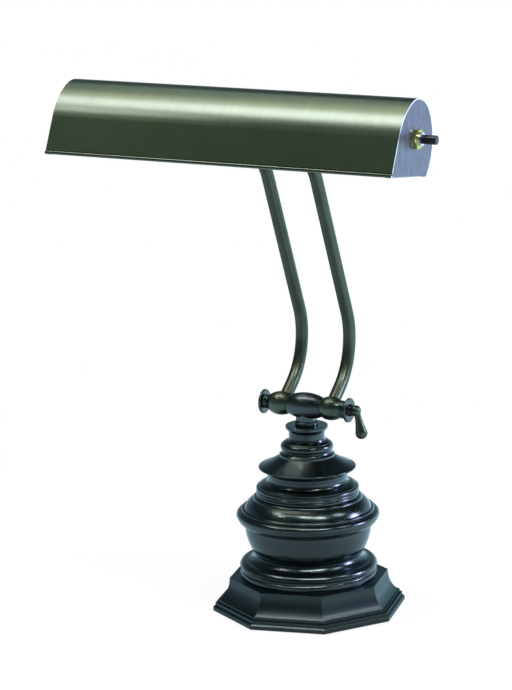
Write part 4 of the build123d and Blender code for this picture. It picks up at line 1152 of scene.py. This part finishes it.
@dataclass
class UpperKnuckle:
    """The swivel behind the shade."""

    turning: float = 1500.0
    turning_depth: float = 0.003 * MM
    nut_turning_depth: float = 0.006 * MM

    def build(self) -> None:
        """Dresses the swivel's pieces."""
        turned = {"grain": Grain.TURNED_ACROSS, "axis": tuple(middle_of(*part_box("top_bolt"))),
                  "lines": self.turning}
        swivel = Metal("swivel bronze", Patina.SWIVEL_BRONZE, roughness=0.28, **turned,
                       line_depth=self.turning_depth, line_tint=0.12)
        brass = Metal("cap nut brass", Patina.BRASS, roughness=0.24, **turned,
                      line_depth=self.nut_turning_depth)
        steel = Metal("pivot steel", Patina.STEEL, roughness=0.32)
        dress(swivel, "top_hub", "left_top_barrel", "right_top_barrel")
        dress(brass, "cap_nuts")
        dress(steel, "top_bolt", "stub_nut")


@dataclass
class Shade:
    """The rolled reflector and its end plates."""

    enamel: Colour = (0.82, 0.81, 0.77)
    # Near-white for the shell's cut ends: bare metal, partly a painted highlight.
    cut_edge_highlight: Colour = (0.95, 0.95, 1.0)
    hem_depth: float = 1.7 * MM
    brushing: float = 650.0
    plate_brushing: float = 420.0
    # Width of the end plates' rubbed rim, drawn near-white: partly wear, mostly a painted
    # highlight.
    plate_rim_highlight: float = 1.3 * MM

    def build(self) -> None:
        """Dresses the shell outside in brushed bronze and inside in white enamel, with painted
        shade on its front edge's roll and a painted highlight on its cut ends; the end plates carry
        a painted violet reflection.
        """
        low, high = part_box("reflector")
        lining = Lining(self.enamel, tuple(middle_of(low, high)))
        points = [vertex.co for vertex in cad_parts["reflector"].data.vertices]
        hem_top = max(point.z for point in points if point.y < low.y + self.hem_depth)
        # The shell's cut ends are near-white, partly a painted highlight, and painted shade darkens
        # the top of its front edge's roll.
        shell = Metal("shade bronze", Patina.SHADE_BRONZE, roughness=0.3,
                      grain=Grain.ROUND_SECTION, lines=self.brushing, line_depth=0.0008 * MM,
                      line_tint=0.05, rubbed=0.1, stretch=0.5, uneven=0.01, lining=lining,
                      cut=self.cut_edge_highlight, hem_shade=HemShade(low.y, hem_top))
        # The end plates' violet is a painted reflection of a violet lamp, and their fully rubbed
        # near-white rim is a painted highlight.
        plate = Metal("end plate bronze", Patina.VIOLET_BRONZE, roughness=0.4,
                      grain=Grain.UPRIGHT, lines=self.plate_brushing, line_depth=0.001 * MM,
                      line_tint=0.1, patches=110.0, mottle=1.0, arris=self.plate_rim_highlight,
                      rubbed=1.0, uneven=0.05, lining=lining)
        dress(shell, "reflector")
        dress(plate, "left_end_plate", "right_end_plate")


@dataclass
class LampHolders:
    """The two sockets on their bracket, with a tubular bulb in each."""

    filament_radius: float = 3.0 * MM
    filament_pitch: float = 9.0 * MM
    filament_wire: float = 0.12 * MM
    filament_length: float = 60.0 * MM
    filament_inset: float = 22.0 * MM
    rib_radius: float = 0.55 * MM
    rib_length: float = 12.0 * MM
    rib_inset: float = 2.0 * MM
    rib_count: int = 24
    screw_head: float = 1.6 * MM
    screw_radius: float = 1.5 * MM
    cap_turning: float = 1500.0
    body: str = "shade"

    def build(self, helix: Helix, screws: ScrewHeads) -> None:
        """Dresses the holders, and adds filaments, grip ribs and slotted screws.

        Args:
            helix: What winds the filaments.
            screws: What sets the screws.
        """
        plate = Metal("bracket steel", Patina.ZINC, roughness=0.38, patches=90.0,
                      line_depth=0.02 * MM)
        phenolic = Moulding("black phenolic", (0.012, 0.011, 0.01), (0.024, 0.02, 0.018), 0.28)
        cap = Metal("cap aluminium", Patina.ALUMINIUM, roughness=0.3,
                    grain=Grain.TURNED_ACROSS, lines=self.cap_turning)
        wire = Metal("filament", Patina.TUNGSTEN, roughness=0.4)
        dress(plate, "socket_bracket")
        dress(phenolic, "left_socket", "right_socket")
        dress(cap, "bulb_caps")
        dress(Glass("bulb glass"), "left_bulb", "right_bulb")
        ribs = GripRibs(self.rib_count)
        for side in Side:
            self.wind_filament(side, helix, wire)
            self.add_ribs(side, ribs, phenolic)
            self.set_screws(side, screws, plate)

    def wind_filament(self, side: Side, helix: Helix, finish: Finish) -> None:
        """Winds the filament inside one bulb.

        Args:
            side: The bulb's side.
            helix: What winds it.
            finish: Its finish.
        """
        low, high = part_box(side.name_of("bulb"))
        start = middle_of(low, high)
        start.x = (high.x if side is Side.LEFT else low.x) + side.value * self.filament_inset
        filament = helix.wind(side.name_of("filament"), along(start, side.outwards()), finish,
                              self.filament_radius, self.filament_pitch, self.filament_length,
                              self.filament_wire)
        keep(filament, self.body)

    def add_ribs(self, side: Side, ribs: GripRibs, finish: Finish) -> None:
        """Stands the grip ribs round one socket, near its mouth.

        Args:
            side: The socket's side.
            ribs: What grows them.
            finish: Their finish.
        """
        low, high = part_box(side.name_of("socket"))
        centre = middle_of(low, high)
        mouth = low.x if side is Side.LEFT else high.x
        centre.x = mouth - side.value * (self.rib_length / 2 + self.rib_inset)
        piece = ribs.stand(side.name_of("socket_ribs"), along(centre, side.outwards()), finish,
                           (high.y - low.y) / 2, self.rib_radius, self.rib_length)
        keep(piece, self.body)

    def set_screws(self, side: Side, screws: ScrewHeads, finish: Finish) -> None:
        """Sets the slotted screws that hold one socket, in place of the plain ones.

        Args:
            side: The socket's side.
            screws: What sets the screws.
            finish: The screws' finish.
        """
        boxes = [box for box in islands("socket_screws") if box[0].x * side.value > 0]
        low, high = boxes[0]
        inner, outer = sorted((abs(low.x), abs(high.x)))
        seat = inner + self.screw_head
        head_radius = (high.z - low.z) / 2
        screw = screws.master(head_radius, self.screw_head, self.screw_radius, outer - seat)
        place = along(seat * side.outwards(), -side.outwards())
        middles = [middle_of(*box) for box in boxes]
        points = [place.inverted() @ Vector((side.value * seat, m.y, m.z)) for m in middles]
        piece = screws.set(side.name_of("socket_screws"), screw, points, place, finish)
        keep(piece, self.body)
        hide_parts("socket_screws")


@dataclass
class Switch:
    """The push switch in the right end plate."""

    turning: float = 1800.0
    turning_depth: float = 0.001 * MM
    thread_pitch: float = 0.8 * MM
    thread_sink: float = 0.1 * MM
    thread_wire: float = 0.25 * MM
    body: str = "shade"

    def build(self, helix: Helix) -> None:
        """Dresses the switch and winds its bushing's thread.

        Args:
            helix: What winds the thread.
        """
        low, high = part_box("switch_bushing")
        axis = middle_of(low, high)
        turned = {"grain": Grain.TURNED_ACROSS, "axis": tuple(axis), "lines": self.turning,
                  "line_depth": self.turning_depth}
        nickel = Metal("nickel plate", Patina.NICKEL, roughness=0.2, **turned)
        brass = Metal("bright brass", Patina.GREEN_BRASS, roughness=0.16, **turned)
        black = Moulding("black plastic", (0.004, 0.005, 0.008), (0.008, 0.01, 0.013), 0.16,
                         gloss=0.3)
        dress(nickel, "switch_bushing", "lock_washer")
        dress(brass, "switch_nut")
        dress(black, "switch_body", "switch_button")
        nut_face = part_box("switch_nut")[1].x
        place = along(Vector((nut_face, axis.y, axis.z)), Side.RIGHT.outwards())
        radius = (high.y - low.y) / 2 - self.thread_sink
        length = high.x - nut_face - self.thread_pitch
        thread = helix.wind("switch_thread", place, nickel, radius, self.thread_pitch, length,
                            self.thread_wire)
        keep(thread, self.body)


# ------------------------------------------------------------------ studio

# The studio's level direction from its left to its right, as a fixed heading in the lamp's frame.
LEFT_TO_RIGHT = (0.884, 0.468, 0.0)
CEILING = 2.0


@dataclass(frozen=True)
class SoftBox:
    """A flat lamp that looks at a point.

    Attributes:
        name: Its name.
        centre: Where it hangs.
        aim: The point that it looks at.
        width: Its size along its run.
        height: Its size across its run.
        radiance: How bright its face is.
        colour: The tint of its light.
        run: The way that its width runs.
        spread: The angle in degrees that its light fills.
    """

    name: str
    centre: Point
    aim: Point
    width: float
    height: float
    radiance: float
    colour: Colour = WHITE
    run: Point = (1.0, 0.0, 0.0)
    spread: float = 180.0

    @classmethod
    def overhead(
        cls, name: str, x: float, y: float, width: float, height: float, radiance: float,
        colour: Colour,
    ) -> "SoftBox":
        """A soft box that hangs level under the ceiling and looks straight down."""
        return cls(name, (x, y, CEILING), (x, y, 0.0), width, height, radiance, colour)

    def hang(self) -> None:
        """Puts the lamp into the scene, out of the camera's sight."""
        lamp = bpy.data.lights.new(self.name, "AREA")
        lamp.shape = "RECTANGLE"
        lamp.size, lamp.size_y = self.width, self.height
        half = math.radians(self.spread) / 2
        narrowing = 1 - half / math.tan(half) if self.spread < 180.0 else 1.0
        lamp.spread = 2 * half
        lamp.energy = math.pi * self.width * self.height * self.radiance * narrowing
        lamp.color = self.colour
        holder = link_object(self.name, lamp)
        away = (Vector(self.centre) - Vector(self.aim)).normalized()
        across = (Vector(self.run) - away * away.dot(Vector(self.run))).normalized()
        turned = Matrix((across, away.cross(across), away)).transposed()
        holder.location = self.centre
        holder.rotation_mode = "QUATERNION"
        holder.rotation_quaternion = turned.to_quaternion()
        holder.visible_camera = False
        log.info("%s hangs at %s with %.1f W", self.name, self.centre, lamp.energy)


@dataclass(frozen=True)
class Viewpoint:
    """Where the camera stands, as a heading round the object, and how it frames it.

    Attributes:
        azimuth: How far round from the front it stands, in degrees.
        elevation: How far up it stands, in degrees.
        roll: How far it leans, in degrees.
        distance: How far it is from its aim.
        aim: The point in the middle of its view.
        lens: Its focal length in millimetres.
        sensor: Its frame's width in millimetres.
        sight: The nearest and the farthest that it sees.
    """

    azimuth: float = 27.908
    elevation: float = 12.932
    roll: float = -1.082
    distance: float = 3.01772
    aim: Point = (-0.05408, 0.0, 0.25866)
    lens: float = 161.373
    sensor: float = 36.0
    sight: Range = (0.05, 100.0)

    def place(self) -> None:
        """Makes the camera and hands it to the scene."""
        azimuth, elevation = math.radians(self.azimuth), math.radians(self.elevation)
        level = Vector((math.cos(azimuth), math.sin(azimuth), 0.0))
        front = Vector((math.sin(azimuth), -math.cos(azimuth), 0.0))
        back = front * math.cos(elevation) + Vector((0.0, 0.0, math.sin(elevation)))
        upright = back.cross(level)
        turn = math.radians(self.roll)
        right = level * math.cos(turn) + upright * math.sin(turn)
        up = upright * math.cos(turn) - level * math.sin(turn)
        camera = bpy.data.cameras.new("camera")
        camera.lens, camera.sensor_width = self.lens, self.sensor
        camera.clip_start, camera.clip_end = self.sight
        holder = link_object("camera", camera)
        turned = Matrix((right, up, back)).transposed().to_4x4()
        holder.matrix_world = Matrix.Translation(Vector(self.aim) + back * self.distance) @ turned
        bpy.context.scene.camera = holder


@dataclass
class Studio:
    """A plain pale studio: floor, sky, soft boxes and camera.

    Attributes:
        floor_radius: How far the floor reaches.
        floor_gap: How far it lies under the lamp.
        floor_colour: Its colour where a shadow shows it.
        floor_left: How bright it is in what metal mirrors, on the left.
        floor_middle: The same, under the lamp.
        floor_right: The same, on the right.
        floor_reach: How far from the middle the left and the right are.
        shadow_reach: Where the shadow starts to fade, and where it has gone.
        shadow_share: How much of it shows.
        sky_level: How bright the sky is, as a lamp.
        ceiling_level: How bright it is overhead, in what metal mirrors.
        left_level: How much brighter it is at the horizon there, on the left.
        right_level: The same, on the right.
        side_range: Where the left ends and where the right starts.
        horizon: How high the horizon's light starts to fade, and where it has gone.
        mirrored_tint: The tint of floor and sky in what metal mirrors.
        soft_boxes: The lamps.
    """

    floor_radius: float = 4.0
    floor_gap: float = 0.2 * MM
    floor_colour: Colour = (0.9, 0.9, 0.9)
    floor_left: float = 1.0
    floor_middle: float = 0.6
    floor_right: float = 1.85
    floor_reach: float = 0.5
    shadow_reach: Range = (0.18, 0.72)
    shadow_share: float = 0.15
    sky_level: float = 0.26
    ceiling_level: float = 0.1
    left_level: float = 0.3
    right_level: float = 0.95
    side_range: Range = (0.05, 0.8)
    horizon: Range = (0.1, 0.5)
    mirrored_tint: Colour = (0.64, 0.86, 1.0)
    soft_boxes: tuple[SoftBox, ...] = (
        SoftBox.overhead("front_box", -0.62, -0.535, 1.45, 0.59, 7.8, (0.98, 0.96, 1.03)),
        SoftBox.overhead("middle_box", -0.62, -0.02, 1.45, 0.44, 2.4, (1.0, 0.97, 0.72)),
        SoftBox.overhead("rear_box", -0.95, 0.75, 0.9, 1.0, 0.9, (0.78, 1.0, 0.92)),
        SoftBox.overhead("corner_box", -0.44, 0.12, 0.34, 0.7, 3.6, (1.0, 0.98, 0.84)),
        SoftBox("front_fill", (-0.92, -1.5, 1.64), (0.0, -0.16, 0.5), 1.4, 1.1, 0.15,
                (0.55, 1.0, 0.2)),
        SoftBox("side_strip", (0.66, -0.7, CEILING), (0.0, 0.0, 0.12), 1.3, 0.34, 21.0,
                (0.92, 1.0, 0.96), run=(0.974, 0.227, 0.0)),
        SoftBox("side_box", (1.5, 0.45, CEILING), (0.0, 0.0, 0.12), 0.6, 0.5, 8.0,
                (0.8, 0.9, 1.0), run=LEFT_TO_RIGHT),
        SoftBox("left_spot", (-0.67, -0.75, 1.39), (0.0, 0.0, 0.14), 0.16, 0.09, 50.0,
                (1.0, 1.0, 0.95), spread=16.0),
        SoftBox("right_spot", (1.44, 0.9, 0.79), (0.0, 0.0, 0.12), 0.52, 0.46, 32.0,
                (0.6, 0.6, 1.0), spread=60.0),
    )

    def build(self) -> None:
        """Sets the floor, the sky, the lamps, the camera and the way that colours are shown."""
        self.lay_floor()
        self.light_sky()
        for box in self.soft_boxes:
            box.hang()
        Viewpoint().place()
        bpy.context.scene.view_settings.view_transform = "Standard"

    def lay_floor(self) -> None:
        """Makes the white floor, which keeps the object's shadow and fades into the sky."""
        work = bmesh.new()
        bmesh.ops.create_circle(work, cap_ends=True, segments=96, radius=self.floor_radius)
        mesh = mesh_of(work, "studio_floor")
        mesh.transform(Matrix.Translation((0.0, 0.0, -self.floor_gap)))
        graph = MaterialGraph("studio floor")
        point = graph.coordinates("Object")
        path = graph.node("ShaderNodeLightPath").outputs
        tint = graph.blend(path["Is Glossy Ray"], WHITE, self.mirrored_tint)
        feeds = {"Color": tint, "Strength": self.floor_glow(graph, point, path["Is Glossy Ray"])}
        white = graph.node("ShaderNodeEmission", feeds).outputs[0]
        seen = graph.maths("MAXIMUM", path["Is Camera Ray"], path["Is Glossy Ray"])
        seen = graph.maths("MAXIMUM", seen, path["Is Transmission Ray"])
        fade = graph.spread(graph.vectors("LENGTH", point), *self.shadow_reach)
        plain = graph.spread(fade, 0.0, 1.0, 1 - self.shadow_share, 1.0)
        share = graph.maths("MULTIPLY", seen, plain)
        graph.set(Base_Color=(*self.floor_colour, 1.0), Roughness=0.9, Specular_IOR_Level=0.0)
        feeds = {0: share, 1: graph.shader.outputs[0], 2: white}
        mixed = graph.node("ShaderNodeMixShader", feeds).outputs[0]
        graph.feed(graph.tree.nodes["Material Output"].inputs["Surface"], mixed)
        mesh.materials.append(graph.material)
        link_object("studio_floor", mesh)

    def floor_glow(self, graph: MaterialGraph, point: Socket, mirrored: Socket) -> Socket:
        """How bright the floor is: 1 to the eye, and by its place in what metal mirrors.

        Args:
            graph: The floor's tree.
            point: The shaded point.
            mirrored: 1 for what metal mirrors, and 0 for the rest.

        Returns:
            The brightness.
        """
        across = graph.vectors("DOT_PRODUCT", point, LEFT_TO_RIGHT)
        reach = self.floor_reach
        right = graph.spread(across, 0.0, reach, self.floor_middle, self.floor_right)
        left = graph.spread(across, -reach, 0.0, self.floor_left, self.floor_middle)
        change = graph.maths("SUBTRACT", graph.maths("MAXIMUM", right, left), 1.0)
        return graph.maths("ADD", graph.maths("MULTIPLY", change, mirrored), 1.0)

    def light_sky(self) -> None:
        """Makes the sky: white to the eye and through glass, and in metal dim overhead."""
        world = bpy.data.worlds.new("studio sky")
        bpy.context.scene.world = world
        world.use_nodes = True
        graph = NodeGraph(world.node_tree)
        graph.tree.nodes.clear()
        heading = graph.coordinates("Generated")
        across = graph.vectors("DOT_PRODUCT", heading, LEFT_TO_RIGHT)
        low = graph.spread(across, *self.side_range, self.left_level, self.right_level)
        climb = graph.spread(graph.parts(heading)["Z"], *self.horizon, 1.0, 0.0)
        mirrored = graph.maths("ADD", graph.maths("MULTIPLY", climb, low), self.ceiling_level)
        feeds = {"Color": (*WHITE, 1.0), "Strength": self.sky_level}
        shown = graph.node("ShaderNodeBackground", feeds).outputs[0]
        path = graph.node("ShaderNodeLightPath").outputs
        for ray, colour, level in (
            ("Is Glossy Ray", self.mirrored_tint, mirrored),
            ("Is Transmission Ray", WHITE, 1.0),
            ("Is Camera Ray", WHITE, 1.0),
        ):
            feeds = {"Color": (*colour, 1.0), "Strength": level}
            seen = graph.node("ShaderNodeBackground", feeds).outputs[0]
            feeds = {0: path[ray], 1: shown, 2: seen}
            shown = graph.node("ShaderNodeMixShader", feeds).outputs[0]
        graph.node("ShaderNodeOutputWorld", {"Surface": shown})


def main() -> None:
    """Builds the lamp's looks and its studio."""
    logging.basicConfig(level=logging.INFO, format="%(name)s: %(message)s")
    helix, screws = Helix(), ScrewHeads()
    Base().build(helix)
    Knuckle().build()
    ClampLever().build()
    Arms().build()
    UpperKnuckle().build()
    Shade().build()
    LampHolders().build(helix, screws)
    Switch().build(helix)
    Studio().build()
    bpy.context.view_layer.update()


if __name__ == "__main__":
    main()
